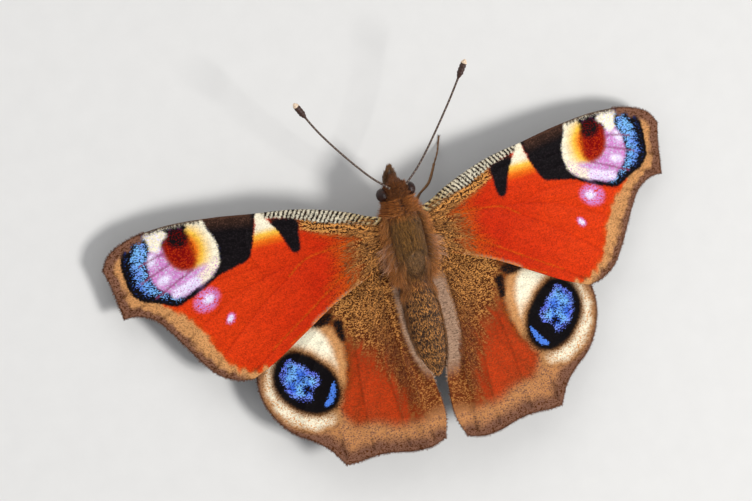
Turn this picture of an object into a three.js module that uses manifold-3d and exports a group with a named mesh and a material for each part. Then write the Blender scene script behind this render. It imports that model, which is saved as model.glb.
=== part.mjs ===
// Peacock butterfly at rest with its wings spread flat, a life-size still model.
// Millimetres, +Z up. The head points to -Y and the butterfly's left side is +X.
// The origin is on the floor under the middle of the box that holds the whole insect.

import * as THREE from 'three';
import { mergeVertices } from 'three/addons/utils/BufferGeometryUtils.js';
import Module from 'manifold-3d';

const wasm = await Module();
wasm.setup();

// Driving dimensions. "forward" is towards the head, "out" is away from the middle line.
const GAP = 0.3;
const SIDES = { left: 1, right: -1 };
const DEGREE = Math.PI / 180;

const HINGE_OUT = 2.6;
const WING_THICKNESS = 0.5;
const VEIN_HEIGHT = 0.16;
const VEIN_HALF_WIDTH = 0.32;
const EDGE_STEP = 0.95;
const VEIN_STEP = 1.15;
const MEMBRANE_STEP = 2.3;
const VEIN_TO_MARGIN = 0.55;

const FOREWING_LENGTH = 29.1;
const FOREWING = { height: 6.32, droop: 7.8, rise: 1.3 };
const HINDWING_LENGTH = 21.5;
const HINDWING = { height: 4.75, droop: 5.7, rise: 0 };
const TIP_DROOP = 0.5;
const HINDWING_LIFT = 0.9;
const FOLD_HEIGHT = 0.35;
// The right hindwing is drawn further out from under its forewing than the left one: a turn
// outwards in degrees, a widening outwards and a lengthening backwards.
const HINDWING_TURN = { left: -0.8, right: 0.3 };
const HINDWING_SPREAD = { left: [1, 1], right: [1.045, 1.02] };

const THORAX_FRONT = 4.2;
const THORAX_REAR = -3.6;
const THORAX_HALF_WIDTH = 2.3;
const THORAX_MIDDLE = 6.0;
const THORAX_HALF_HEIGHT = 2.2;
const ABDOMEN_LENGTH = 10.8;
const ABDOMEN_HALF_WIDTH = 1.95;
const ABDOMEN_RINGS = 8;
const GROOVE = 0.07;
const HEAD_LENGTH = 2.3;
const HEAD_MIDDLE = 6.5;
const HEAD_HALF_WIDTH = 1.3;
const EYE = { out: 1.52, forward: 5.45, height: 6.5 };
const EYE_RADIUS = { out: 0.66, along: 0.76, up: 0.82 };
const PALP_RADIUS = 0.42;
const PROBOSCIS = { forward: 6.45, height: 4.8, coil: 0.42, tube: 0.25 };
const ANTENNA_RADIUS = 0.26;
const CLUB_RADIUS = 0.42;
const ANTENNA_TIP = { out: 9.5, forward: 17.2, height: 10.9 };
const LEG_RADIUS = 0.3;

// A point given by how far it is out, forward and up, on one side of the body.
const at = (side, out, forward, up) => new THREE.Vector3(side * out, -forward, up);

// Curves

// A smooth line through a few flat points, sampled at about the given step.
function smoothLine(points, step) {
  const curve = new THREE.CatmullRomCurve3(
    points.map(([u, v]) => new THREE.Vector3(u, v, 0)), false, 'centripetal');
  const count = Math.max(2, Math.round(curve.getLength() / step));
  return curve.getSpacedPoints(count).map((p) => [p.x, p.y]);
}

// The closed rim of a wing: its edges one after another, each smooth, with corners between.
function rimOf(edges) {
  return Object.values(edges).flatMap((edge) => smoothLine(edge, EDGE_STEP).slice(0, -1));
}

function isInside(rim, [u, v]) {
  let inside = false;
  for (let i = 0, j = rim.length - 1; i < rim.length; j = i++) {
    const [ui, vi] = rim[i];
    const [uj, vj] = rim[j];
    if ((vi > v) !== (vj > v) && u < ((uj - ui) * (v - vi)) / (vj - vi) + ui) inside = !inside;
  }
  return inside;
}

const distance = (a, b) => Math.hypot(a[0] - b[0], a[1] - b[1]);

// Triangles

// The circle through three flat points, as its centre and squared radius.
function circleThrough(a, b, c) {
  const bu = b[0] - a[0];
  const bv = b[1] - a[1];
  const cu = c[0] - a[0];
  const cv = c[1] - a[1];
  const twice = 2 * (bu * cv - bv * cu);
  const bb = bu * bu + bv * bv;
  const cc = cu * cu + cv * cv;
  const du = (cv * bb - bv * cc) / twice;
  const dv = (bu * cc - cu * bb) / twice;
  return { u: a[0] + du, v: a[1] + dv, reach: du * du + dv * dv };
}

// Delaunay triangles of flat points, all turning the same way.
function triangulate(points) {
  const far = 1000;
  const all = [...points, [-far, -far], [far, -far], [0, far]];
  const count = points.length;
  const make = (a, b, c) => ({ corners: [a, b, c], circle: circleThrough(all[a], all[b], all[c]) });
  let triangles = [make(count, count + 1, count + 2)];
  for (let p = 0; p < count; p++) {
    const [u, v] = all[p];
    const open = new Map();
    triangles = triangles.filter(({ corners, circle }) => {
      if ((u - circle.u) ** 2 + (v - circle.v) ** 2 >= circle.reach) return true;
      corners.forEach((a, k) => {
        const b = corners[(k + 1) % 3];
        if (!open.delete(`${b},${a}`)) open.set(`${a},${b}`, [a, b]);
      });
      return false;
    });
    for (const [a, b] of open.values()) triangles.push(make(a, b, p));
  }
  return triangles.map((t) => t.corners).filter((t) => t.every((k) => k < count));
}

function meshFrom(positions, triangles) {
  const geometry = new THREE.BufferGeometry();
  geometry.setAttribute('position', new THREE.Float32BufferAttribute(positions.flat(), 3));
  geometry.setIndex(triangles.flat());
  geometry.computeVertexNormals();
  return geometry;
}

// Wings

const FOREWING_EDGES = {
  costa: [[0, 3.2], [3, 4.7], [8, 6.3], [12.5, 7], [17, 7.7], [22, 8.05], [25.8, 7.6], [28.2, 6.5],
    [FOREWING_LENGTH, 5.15]],
  apex: [[FOREWING_LENGTH, 5.15], [28.65, 3.1], [28.4, 1.2], [28.2, -0.3]],
  margin: [[28.2, -0.3], [26.8, -0.35], [25.1, -1.2], [23.9, -2.7], [22.5, -5], [21.3, -6.9],
    [20.1, -8.4], [18.3, -9.45], [16.6, -9.75]],
  trailing: [[16.6, -9.75], [14, -8.6], [10.5, -6.6], [6.5, -4.3], [2.6, -2.6], [0, -1.6]],
  root: [[0, -1.6], [0, 3.2]],
};

const FOREWING_VEINS = {
  subcosta: [[0.8, 3], [6, 5], [11, 6.2], [15.4, 7]],
  radius: [[0.8, 2.4], [7, 4.3], [13, 5.5], [20, 6.7], [25.5, 6.9], [28.6, 5.4]],
  firstBranch: [[10.6, 5.1], [15, 6.3], [18.8, 7.3]],
  secondBranch: [[20.6, 6.8], [23.6, 7.5]],
  upperMedian: [[14, 4.7], [19, 4.6], [22.6, 3.9], [25.3, 2.9], [28, 1.9]],
  middleMedian: [[13.9, 3.3], [17.2, 3.4], [20.3, 2.7], [23.5, 1.4], [27.6, 0]],
  lowerMedian: [[13.2, 1.5], [18.2, 1.2], [21, 0], [24.6, -1.3]],
  cubitus: [[0.8, 1.5], [4, 1.5], [8.5, 1], [11.2, 0.7]],
  upperCubital: [[11.2, 0.7], [15.5, -0.5], [19.5, -2.5], [22.3, -4.2]],
  lowerCubital: [[8.2, 1], [13, -1.9], [17.5, -5.3], [20.2, -7.7]],
  anal: [[0.8, 0.4], [6, -2.6], [12, -6.2], [16.4, -9]],
  cellEnd: [[13.6, 5.6], [14, 4.7], [13.9, 3.3], [13.2, 1.5], [11.2, 0.7]],
};

const HINDWING_EDGES = {
  costa: [[-0.25, 0.3], [3, 0.9], [7, 0.3], [11, -1.6], [14, -4.4], [15.5, -7.2]],
  margin: [[15.5, -7.2], [16.3, -10.2], [16.2, -12.2], [15.4, -14.4], [14, -16.3], [12.2, -17.6],
    [10.7, -19], [9.5, -20.95]],
  hem: [[9.5, -20.95], [8.2, -21], [6.4, -20.85], [4.5, -21], [2.2, -HINDWING_LENGTH],
    [0, -HINDWING_LENGTH], [-1.4, -21.05]],
  inner: [[-1.4, -21.05], [-2, -19.2], [-2.1, -17], [-1.75, -15.2], [-1.2, -13.8], [-0.6, -12],
    [-0.25, -10], [-0.2, -8], [-0.25, -6], [-0.3, -4], [-0.25, -2.6]],
  root: [[-0.25, -2.6], [-0.25, 0.3]],
};

const HINDWING_VEINS = {
  subcosta: [[0.7, 0], [5, -0.6], [10.5, -3], [14.8, -6.6]],
  radius: [[4.5, -2], [9, -4.6], [13, -7.4], [15.9, -10]],
  upperMedian: [[6.6, -5], [10, -7.6], [13.6, -11], [15.2, -14]],
  middleMedian: [[6.9, -6.2], [9.8, -9.6], [11.9, -13.4], [12.9, -16.4]],
  lowerMedian: [[6.2, -7.4], [7.9, -11], [9, -16], [9.3, -20.2]],
  cubitus: [[0.7, -1.6], [3, -3.8], [4.8, -6.2], [6.2, -7.4]],
  upperCubital: [[4.8, -6.2], [5.5, -11], [6, -16], [6.2, -20.2]],
  lowerCubital: [[3, -3.8], [3, -9], [2.6, -15], [2.4, -20.8]],
  anal: [[0.7, -2.2], [1, -8], [0.6, -14.5], [-0.2, -20.8]],
  cellEnd: [[4.5, -2], [6.6, -5], [6.9, -6.2], [6.2, -7.4]],
};

// How far the membrane bends off its flat plane, as a height at (u, v).
function forewingBend(u) {
  const share = Math.max(0, u / FOREWING_LENGTH);
  return -TIP_DROOP * share ** 3 + TIP_DROOP * share;
}

function hindwingBend(u, v) {
  const back = Math.max(0, (-v - 6) / (HINDWING_LENGTH - 6));
  const fold = Math.exp(-(((u - 0.6) / 0.7) ** 2)) * Math.min(1, Math.max(0, (-v - 4) / 4));
  return HINDWING_LIFT * back ** 2 + FOLD_HEIGHT * fold;
}

// Marks of a wing's grid: the rim, three rows of points along each vein, and a sparse net between.
function wingMarks(edges, veins) {
  const rim = rimOf(edges);
  const marks = rim.map((place) => ({ place, raised: 0 }));
  const clearOf = (place, reach) => marks.every((mark) => distance(mark.place, place) > reach);
  const rows = Object.values(veins).map((vein) => smoothLine(vein, VEIN_STEP));
  const fits = (place, reach) => isInside(rim, place) && clearOf(place, reach);
  for (const row of rows) {
    for (const place of row) {
      if (rim.every((edge) => distance(edge, place) > VEIN_TO_MARGIN) && fits(place, 0.45)) {
        marks.push({ place, raised: VEIN_HEIGHT });
      }
    }
  }
  for (const row of rows) {
    row.forEach(([u, v], k) => {
      const [pu, pv] = row[Math.max(0, k - 1)];
      const [nu, nv] = row[Math.min(row.length - 1, k + 1)];
      const length = Math.hypot(nu - pu, nv - pv);
      for (const way of [-1, 1]) {
        const place = [
          u - (way * VEIN_HALF_WIDTH * (nv - pv)) / length,
          v + (way * VEIN_HALF_WIDTH * (nu - pu)) / length,
        ];
        if (fits(place, VEIN_HALF_WIDTH * 0.9)) marks.push({ place, raised: 0 });
      }
    });
  }
  for (let u = -3; u < FOREWING_LENGTH; u += MEMBRANE_STEP) {
    for (let v = -HINDWING_LENGTH; v < 9; v += MEMBRANE_STEP) {
      if (fits([u, v], MEMBRANE_STEP * 0.55)) marks.push({ place: [u, v], raised: 0 });
    }
  }
  return { rim, marks };
}

// A closed wing: the same triangles above and below, and a wall along the rim. It is widened
// outwards from the hinge and lengthened.
function wingGeometry(edges, veins, bend, side, [widen, lengthen]) {
  const { rim, marks } = wingMarks(edges, veins);
  const places = marks.map((mark) => mark.place);
  const middle = (t, k) => (places[t[0]][k] + places[t[1]][k] + places[t[2]][k]) / 3;
  const faces = triangulate(places).filter((t) => isInside(rim, [middle(t, 0), middle(t, 1)]));
  const count = places.length;
  const half = WING_THICKNESS / 2;
  const layer = (offset, raise) => marks.map(({ place: [u, v], raised }) => (
    [side * u * (u > 0 ? widen : 1), -v * lengthen, bend(u, v) + offset + (raise ? raised : 0)]));
  const turn = (t) => (side < 0 ? t : [t[0], t[2], t[1]]);
  const walls = new Map();
  for (const [a, b, c] of faces) {
    for (const [from, to] of [[a, b], [b, c], [c, a]]) {
      if (!walls.delete(`${to},${from}`)) walls.set(`${from},${to}`, [from, to]);
    }
  }
  const sideFaces = [...walls.values()].flatMap(([from, to]) => [
    [from, from + count, to + count],
    [from, to + count, to],
  ]);
  return meshFrom(
    [...layer(half, true), ...layer(-half, false)],
    [
      ...faces.map(turn),
      ...faces.map(([a, b, c]) => turn([a + count, c + count, b + count])),
      ...sideFaces.map(turn),
    ],
  );
}

// Body

// A closed skin over sections that follow each other along the body. Each section is squarish
// by its power, 2 for an ellipse. Flat ends close it.
function sectionsGeometry(sections, sides) {
  const rings = sections.map(({ forward, middle, wide, high, power = 2 }) => (
    Array.from({ length: sides }, (_, k) => {
      const angle = (2 * Math.PI * (k + 0.5)) / sides;
      const across = Math.cos(angle);
      const up = Math.sin(angle);
      const reach = (Math.abs(across) ** power + Math.abs(up) ** power) ** (-1 / power);
      return [wide * across * reach, -forward, middle + high * up * reach];
    })
  ));
  return ringsGeometry(rings, sides);
}

// Joins rings of points into a closed surface. The first and last are closed by a fan.
function ringsGeometry(rings, sides) {
  const positions = rings.flat();
  const triangles = [];
  const last = rings.length - 1;
  for (let r = 0; r < last; r++) {
    for (let k = 0; k < sides; k++) {
      const a = r * sides + k;
      const b = r * sides + ((k + 1) % sides);
      triangles.push([a, b, b + sides], [a, b + sides, a + sides]);
    }
  }
  for (const [r, forwards] of [[0, false], [last, true]]) {
    const centre = positions.length;
    const ring = rings[r];
    positions.push([0, 1, 2].map((k) => ring.reduce((sum, p) => sum + p[k], 0) / sides));
    for (let k = 0; k < sides; k++) {
      const a = r * sides + k;
      const b = r * sides + ((k + 1) % sides);
      triangles.push(forwards ? [a, b, centre] : [b, a, centre]);
    }
  }
  return outward(meshFrom(positions, triangles));
}

// Turns a closed surface right side out if its volume comes out negative.
function outward(geometry) {
  const p = geometry.getAttribute('position');
  const index = geometry.getIndex();
  const [a, b, c] = [new THREE.Vector3(), new THREE.Vector3(), new THREE.Vector3()];
  let volume = 0;
  for (let k = 0; k < index.count; k += 3) {
    a.fromBufferAttribute(p, index.getX(k));
    b.fromBufferAttribute(p, index.getX(k + 1));
    c.fromBufferAttribute(p, index.getX(k + 2));
    volume += a.dot(b.cross(c));
  }
  if (volume < 0) {
    for (let k = 0; k < index.count; k += 3) {
      const second = index.getX(k + 1);
      index.setX(k + 1, index.getX(k + 2));
      index.setX(k + 2, second);
    }
    geometry.computeVertexNormals();
  }
  return geometry;
}

// A limb: round sections along a smooth line, with a radius at each part of its length.
// No point goes below the floor, so a foot laid on it gets a small flat sole.
function limbGeometry(points, radiusAt, steps, sides) {
  const curve = new THREE.CatmullRomCurve3(points, false, 'centripetal');
  const frames = curve.computeFrenetFrames(steps, false);
  const rings = Array.from({ length: steps + 1 }, (_, s) => {
    const centre = curve.getPointAt(s / steps);
    const radius = radiusAt(s / steps);
    return Array.from({ length: sides }, (__, k) => {
      const angle = (2 * Math.PI * k) / sides;
      const p = centre.clone()
        .addScaledVector(frames.normals[s], radius * Math.cos(angle))
        .addScaledVector(frames.binormals[s], radius * Math.sin(angle));
      return [p.x, p.y, Math.max(0, p.z)];
    });
  });
  return ringsGeometry(rings, sides);
}

function solidOf(geometry) {
  const bare = geometry.clone();
  bare.deleteAttribute('normal');
  bare.deleteAttribute('uv');
  const merged = mergeVertices(bare, 1e-4);
  return new wasm.Manifold(new wasm.Mesh({
    numProp: 3,
    vertProperties: new Float32Array(merged.getAttribute('position').array),
    triVerts: new Uint32Array(merged.getIndex().array),
  }));
}

// The geometry of a solid's largest closed surface.
function geometryOf(solid) {
  const [largest] = solid.decompose().sort((a, b) => b.volume() - a.volume());
  const { vertProperties, triVerts } = largest.getMesh();
  const geometry = new THREE.BufferGeometry();
  geometry.setAttribute('position', new THREE.BufferAttribute(new Float32Array(vertProperties), 3));
  geometry.setIndex(Array.from(triVerts));
  geometry.computeVertexNormals();
  return geometry;
}

function thoraxGeometry() {
  const profile = [
    [THORAX_FRONT, 0.5, 0.5, 0.55], [3.7, 0.72, 0.68, 0.4], [3, 0.87, 0.84, 0.25], [2, 0.98, 0.95, 0.1],
    [0.5, 1, 1, 0], [-1.2, 0.98, 0.96, -0.05], [-2.4, 0.9, 0.86, -0.15], [-3.2, 0.76, 0.72, -0.3],
    [THORAX_REAR, 0.62, 0.6, -0.45],
  ];
  return sectionsGeometry(profile.map(([forward, width, height, lift]) => ({
    forward,
    middle: THORAX_MIDDLE + lift,
    wide: THORAX_HALF_WIDTH * width,
    high: THORAX_HALF_HEIGHT * height,
    power: 2.5,
  })), 28);
}

// The abdomen's half width at a share of its length: swelling, then drawn in to a blunt tip.
function abdomenWidth(share) {
  return ABDOMEN_HALF_WIDTH * (0.7 + 0.3 * Math.sin(Math.min(1, share / 0.4) * Math.PI / 2))
    * Math.sqrt(Math.max(0.06, 1 - Math.max(0, (share - 0.35) / 0.65) ** 2.4));
}

function abdomenGeometry() {
  const sections = [];
  const perRing = 3;
  const steps = ABDOMEN_RINGS * perRing;
  for (let s = 0; s <= steps; s++) {
    const share = s / steps;
    const groove = s % perRing === 0 && s > 0 && s < steps ? 1 - GROOVE : 1;
    const wide = abdomenWidth(share) * groove;
    sections.push({
      forward: THORAX_REAR - GAP - share * ABDOMEN_LENGTH,
      middle: 5.5 - 0.6 * share,
      wide,
      high: wide * 0.93,
    });
  }
  return sectionsGeometry(sections, 20);
}

function eyeGeometry(side, grown) {
  const geometry = new THREE.SphereGeometry(1, 20, 12);
  geometry.scale(EYE_RADIUS.out + grown, EYE_RADIUS.along + grown, EYE_RADIUS.up + grown);
  geometry.translate(side * EYE.out, -EYE.forward, EYE.height);
  geometry.deleteAttribute('normal');
  geometry.deleteAttribute('uv');
  return mergeVertices(geometry, 1e-4);
}

function headGeometry() {
  const neck = THORAX_FRONT + GAP;
  const profile = [
    [0, 0.72, 0.95], [0.14, 0.9, 1.05], [0.35, 1, 1.2], [0.6, 0.98, 1.18], [0.82, 0.8, 0.98],
    [0.95, 0.58, 0.72], [1, 0.42, 0.5],
  ];
  const skull = sectionsGeometry(profile.map(([share, width, high]) => ({
    forward: neck + share * HEAD_LENGTH,
    middle: HEAD_MIDDLE,
    wide: HEAD_HALF_WIDTH * width,
    high,
    power: 2.2,
  })), 22);
  const sockets = Object.values(SIDES).map((side) => solidOf(eyeGeometry(side, GAP)));
  return geometryOf(sockets.reduce((solid, socket) => solid.subtract(socket), solidOf(skull)));
}

function palpGeometry(side) {
  const line = [at(side, 0.58, 6.1, 4.95), at(side, 0.6, 6.8, 5.15), at(side, 0.53, 7.5, 5.65),
    at(side, 0.32, 8.2, 6.35)];
  const radiusAt = (share) => PALP_RADIUS * (0.55 + 0.45 * Math.sin(Math.PI * Math.min(1, share * 1.25)))
    * (share > 0.8 ? 1 - 2.4 * (share - 0.8) : 1);
  return limbGeometry(line, radiusAt, 8, 8);
}

function proboscisGeometry() {
  const { coil, tube } = PROBOSCIS;
  const ring = new THREE.TorusGeometry(coil, tube, 8, 20);
  ring.rotateY(Math.PI / 2);
  ring.translate(0, -PROBOSCIS.forward, PROBOSCIS.height);
  ring.deleteAttribute('normal');
  ring.deleteAttribute('uv');
  return mergeVertices(ring, 1e-4);
}

function antennaGeometry(side) {
  const { out, forward, height } = ANTENNA_TIP;
  const line = [at(side, 0.95, 6.05, 7.85), at(side, 2.9, 7.9, 8.2), at(side, 7.1, 13.3, 9.4),
    at(side, out, forward, height)];
  const radiusAt = (share) => {
    const club = Math.min(1, Math.max(0, (share - 0.84) / 0.08));
    const tip = Math.min(1, Math.max(0, (share - 0.94) / 0.06));
    return ANTENNA_RADIUS + (CLUB_RADIUS - ANTENNA_RADIUS) * club - 0.16 * tip;
  };
  return limbGeometry(line, radiusAt, 30, 8);
}

// Legs: the line of each from its hip to its toe, as out, forward and up. The right middle leg
// reaches forward past the head, and the left one stays under its wing.
const FORELEG = [[0.75, 2.6, 3.75], [1, 3.7, 3.8], [1.05, 4.8, 4], [0.9, 5.7, 4.3]];
const HINDLEG = [[1.15, -1.5, 3.4], [2.3, -2.2, 3.4], [3.5, -3, 3.2], [4.7, -4.8, 2], [5.7, -6.6, 1.1],
  [6.5, -8, 0.55], [7, -8.9, 0.23], [7.4, -9.7, 0.2]];
const LEGS = {
  foreleg_left: FORELEG,
  foreleg_right: FORELEG,
  midleg_left: [[1.25, 1.7, 3.4], [2.4, 2.4, 3.5], [3.6, 2.9, 3.3], [5, 3.1, 2.2], [6.4, 3.3, 1.2],
    [7.5, 3.5, 0.6], [8.2, 3.6, 0.25], [9, 3.7, 0.2]],
  midleg_right: [[1.25, 1.7, 3.4], [2.2, 3.1, 3.75], [3.1, 4.3, 3.95], [4.7, 5.2, 3.05], [6.3, 7, 1.55],
    [7.2, 8.1, 0.75], [7.65, 8.9, 0.25], [7.95, 9.6, 0.2]],
  hindleg_left: HINDLEG,
  hindleg_right: HINDLEG,
};

function legGeometry(line, side) {
  const radiusAt = (share) => LEG_RADIUS * (1.25 - 0.4 * share);
  return limbGeometry(line.map((p) => at(side, ...p)), radiusAt, Math.round(line.length * 2.5), 8);
}

// Assembly

const PAINT = {
  forewing: { color: 0xc9401a, roughness: 0.75 },
  hindwing: { color: 0xa8481f, roughness: 0.75 },
  body: { color: 0x5a3d1c, roughness: 0.9 },
  abdomen: { color: 0x4a3520, roughness: 0.9 },
  eye: { color: 0x2c1510, roughness: 0.25 },
  antenna: { color: 0x3a2418, roughness: 0.6 },
  leg: { color: 0x8a6030, roughness: 0.7 },
};

function addMesh(parent, name, geometry, paint) {
  const mesh = new THREE.Mesh(geometry, new THREE.MeshStandardMaterial({ ...PAINT[paint], metalness: 0 }));
  mesh.name = name;
  parent.add(mesh);
  return mesh;
}

// A wing in its own flat frame, hung at its hinge and turned to its pose.
function addWing(parent, name, geometry, pose, side, turn) {
  const mesh = addMesh(parent, name, geometry, name.split('_')[0]);
  mesh.position.set(side * HINGE_OUT, 0, pose.height);
  mesh.rotation.set(-pose.rise * DEGREE, side * pose.droop * DEGREE, -side * turn * DEGREE, 'ZYX');
}

const insect = new THREE.Group();
addMesh(insect, 'head', headGeometry(), 'body');
addMesh(insect, 'thorax', thoraxGeometry(), 'body');
addMesh(insect, 'abdomen', abdomenGeometry(), 'abdomen');
addMesh(insect, 'proboscis', proboscisGeometry(), 'antenna');
for (const [word, side] of Object.entries(SIDES)) {
  const forewing = wingGeometry(FOREWING_EDGES, FOREWING_VEINS, forewingBend, side, [1, 1]);
  const hindwing = wingGeometry(HINDWING_EDGES, HINDWING_VEINS, hindwingBend, side, HINDWING_SPREAD[word]);
  addWing(insect, `forewing_${word}`, forewing, FOREWING, side, 0);
  addWing(insect, `hindwing_${word}`, hindwing, HINDWING, side, HINDWING_TURN[word]);
  addMesh(insect, `eye_${word}`, eyeGeometry(side, 0), 'eye');
  addMesh(insect, `palp_${word}`, palpGeometry(side), 'body');
  addMesh(insect, `antenna_${word}`, antennaGeometry(side), 'antenna');
}
for (const [name, line] of Object.entries(LEGS)) {
  addMesh(insect, name, legGeometry(line, SIDES[name.split('_')[1]]), 'leg');
}

// The insect is shifted so that the middle of its box stands over the origin.
insect.updateMatrixWorld(true);
const box = new THREE.Box3().setFromObject(insect, true);
insect.position.set(-(box.min.x + box.max.x) / 2, -(box.min.y + box.max.y) / 2, -box.min.z);

const group = new THREE.Group();
group.add(insect);

export default group;
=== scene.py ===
"""Peacock butterfly with its wings spread flat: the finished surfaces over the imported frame.

Lengths in the code are millimetres unless they carry MM, and everything is placed in the frame's
own axes: the head points to -Y, the butterfly's left is +X and the floor is at zero. A wing is
meshed and painted flat, out from its hinge (u) and forward (v), and then hung where its solid
hangs. Places on the body are out to the left, forward of the hinges and up from the floor.
"""

import math
from types import SimpleNamespace

import bpy
import numpy as np
from mathutils import Euler, Matrix, Vector
from mathutils.geometry import delaunay_2d_cdt


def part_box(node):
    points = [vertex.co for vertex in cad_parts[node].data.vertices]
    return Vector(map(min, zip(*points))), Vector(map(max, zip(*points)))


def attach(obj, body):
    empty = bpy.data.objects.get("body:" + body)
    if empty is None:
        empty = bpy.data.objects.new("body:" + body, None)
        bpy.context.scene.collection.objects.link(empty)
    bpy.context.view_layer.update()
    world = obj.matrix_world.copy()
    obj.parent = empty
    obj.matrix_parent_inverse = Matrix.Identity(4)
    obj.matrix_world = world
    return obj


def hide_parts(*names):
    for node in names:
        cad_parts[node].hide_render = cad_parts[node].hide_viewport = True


bl_info = {
    "name": "Peacock Butterfly",
    "version": (1, 0, 0),
    "blender": (4, 5, 0),
    "location": "3D View > Sidebar > Butterfly",
    "description": "Builds a life-size peacock butterfly over its packed frame",
    "category": "Add Mesh",
}

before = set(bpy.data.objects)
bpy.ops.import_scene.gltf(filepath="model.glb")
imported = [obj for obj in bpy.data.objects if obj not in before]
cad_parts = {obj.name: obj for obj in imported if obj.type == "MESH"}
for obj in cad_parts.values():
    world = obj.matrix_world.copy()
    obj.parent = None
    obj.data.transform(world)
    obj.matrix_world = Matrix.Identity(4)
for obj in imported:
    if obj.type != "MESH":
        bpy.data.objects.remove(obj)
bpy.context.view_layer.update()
MM = 0.001
TURN = 2 * math.pi
SIDES = {"left": 1, "right": -1}
THORAX_FRONT = 4.2
SHIFT = np.array([0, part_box("thorax")[0].y / MM + THORAX_FRONT, 0])

# Where the wings hang, as in the part.
HINGE_OUT = 2.6
WING_POSE = {
    "forewing": {"height": 6.32, "droop": 7.8, "rise": 1.3, "length": 29.1},
    "hindwing": {"height": 4.75, "droop": 5.7, "rise": 0.0, "length": 21.5},
}
HINDWING_TURN = {"left": -0.8, "right": 0.3}
HINDWING_SPREAD = {"left": (1, 1), "right": (1.045, 1.02)}
TIP_DROOP = 0.5
HINDWING_LIFT = 0.9
FOLD_HEIGHT = 0.35

# The finished surface over a wing's plane, and how far it is drawn in to meet the coat.
SURFACE_LEVEL = 0.2
VEIN_HALF_WIDTH = 0.14
MEMBRANE_SAG = 0.09
DRAWN_IN = {"forewing": 0.55, "hindwing": 0.42}
DRAWN_REACH = 1.3
MEASURE_STEP = 0.4

# The flat map is so wide, and has so many cells for scales along the wing and across it.
MAP_WIDTH = 40
SCALE_ROWS = (320, 420)

EDGES = {
    "forewing": {
        "costa": [
            (0, 3.2), (3, 4.7), (8, 6.3), (12.5, 7), (17, 7.7), (22, 8.05), (25.8, 7.6),
            (28.2, 6.5), (29.1, 5.15)
        ],
        "apex": [(29.1, 5.15), (28.65, 3.1), (28.4, 1.2), (28.2, -0.3)],
        "margin": [
            (28.2, -0.3), (26.8, -0.35), (25.1, -1.2), (23.9, -2.7), (22.5, -5), (21.3, -6.9),
            (20.1, -8.4), (18.3, -9.45), (16.6, -9.75)
        ],
        "trailing": [(16.6, -9.75), (14, -8.6), (10.5, -6.6), (6.5, -4.3), (2.6, -2.6), (0, -1.6)],
        "root": [(0, -1.6), (0, 3.2)],
    },
    "hindwing": {
        "costa": [(-0.25, 0.3), (3, 0.9), (7, 0.3), (11, -1.6), (14, -4.4), (15.5, -7.2)],
        "margin": [
            (15.5, -7.2), (16.3, -10.2), (16.2, -12.2), (15.4, -14.4), (14, -16.3), (12.2, -17.6),
            (10.7, -19), (9.5, -20.95)
        ],
        "hem": [
            (9.5, -20.95), (8.2, -21), (6.4, -20.85), (4.5, -21), (2.2, -21.5), (0, -21.5),
            (-1.4, -21.05)
        ],
        "inner": [
            (-1.4, -21.05), (-2, -19.2), (-2.1, -17), (-1.75, -15.2), (-1.2, -13.8), (-0.6, -12),
            (-0.25, -10), (-0.2, -8), (-0.25, -6), (-0.3, -4), (-0.25, -2.6)
        ],
        "root": [(-0.25, -2.6), (-0.25, 0.3)],
    },
}
VEINS = {
    "forewing": [
        [(0.8, 3), (6, 5), (11, 6.2), (15.4, 7)],
        [(0.8, 2.4), (7, 4.3), (13, 5.5), (20, 6.7), (25.5, 6.9), (28.6, 5.4)],
        [(10.6, 5.1), (15, 6.3), (18.8, 7.3)],
        [(20.6, 6.8), (23.6, 7.5)],
        [(14, 4.7), (19, 4.6), (22.6, 3.9), (25.3, 2.9), (28, 1.9)],
        [(13.9, 3.3), (17.2, 3.4), (20.3, 2.7), (23.5, 1.4), (27.6, 0)],
        [(13.2, 1.5), (18.2, 1.2), (21, 0), (24.6, -1.3)],
        [(0.8, 1.5), (4, 1.5), (8.5, 1), (11.2, 0.7)],
        [(11.2, 0.7), (15.5, -0.5), (19.5, -2.5), (22.3, -4.2)],
        [(8.2, 1), (13, -1.9), (17.5, -5.3), (20.2, -7.7)],
        [(0.8, 0.4), (6, -2.6), (12, -6.2), (16.4, -9)],
        [(13.6, 5.6), (14, 4.7), (13.9, 3.3), (13.2, 1.5), (11.2, 0.7)],
    ],
    "hindwing": [
        [(0.7, 0), (5, -0.6), (10.5, -3), (14.8, -6.6)],
        [(4.5, -2), (9, -4.6), (13, -7.4), (15.9, -10)],
        [(6.6, -5), (10, -7.6), (13.6, -11), (15.2, -14)],
        [(6.9, -6.2), (9.8, -9.6), (11.9, -13.4), (12.9, -16.4)],
        [(6.2, -7.4), (7.9, -11), (9, -16), (9.3, -20.2)],
        [(0.7, -1.6), (3, -3.8), (4.8, -6.2), (6.2, -7.4)],
        [(4.8, -6.2), (5.5, -11), (6, -16), (6.2, -20.2)],
        [(3, -3.8), (3, -9), (2.6, -15), (2.4, -20.8)],
        [(0.7, -2.2), (1, -8), (0.6, -14.5), (-0.2, -20.8)],
        [(4.5, -2), (6.6, -5), (6.9, -6.2), (6.2, -7.4)],
    ],
}
DARK_VEINS = {"forewing": slice(4, 11), "hindwing": slice(4, 9)}
MARGIN_VEINS = {"forewing": slice(4, 11), "hindwing": slice(2, 9)}

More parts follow.
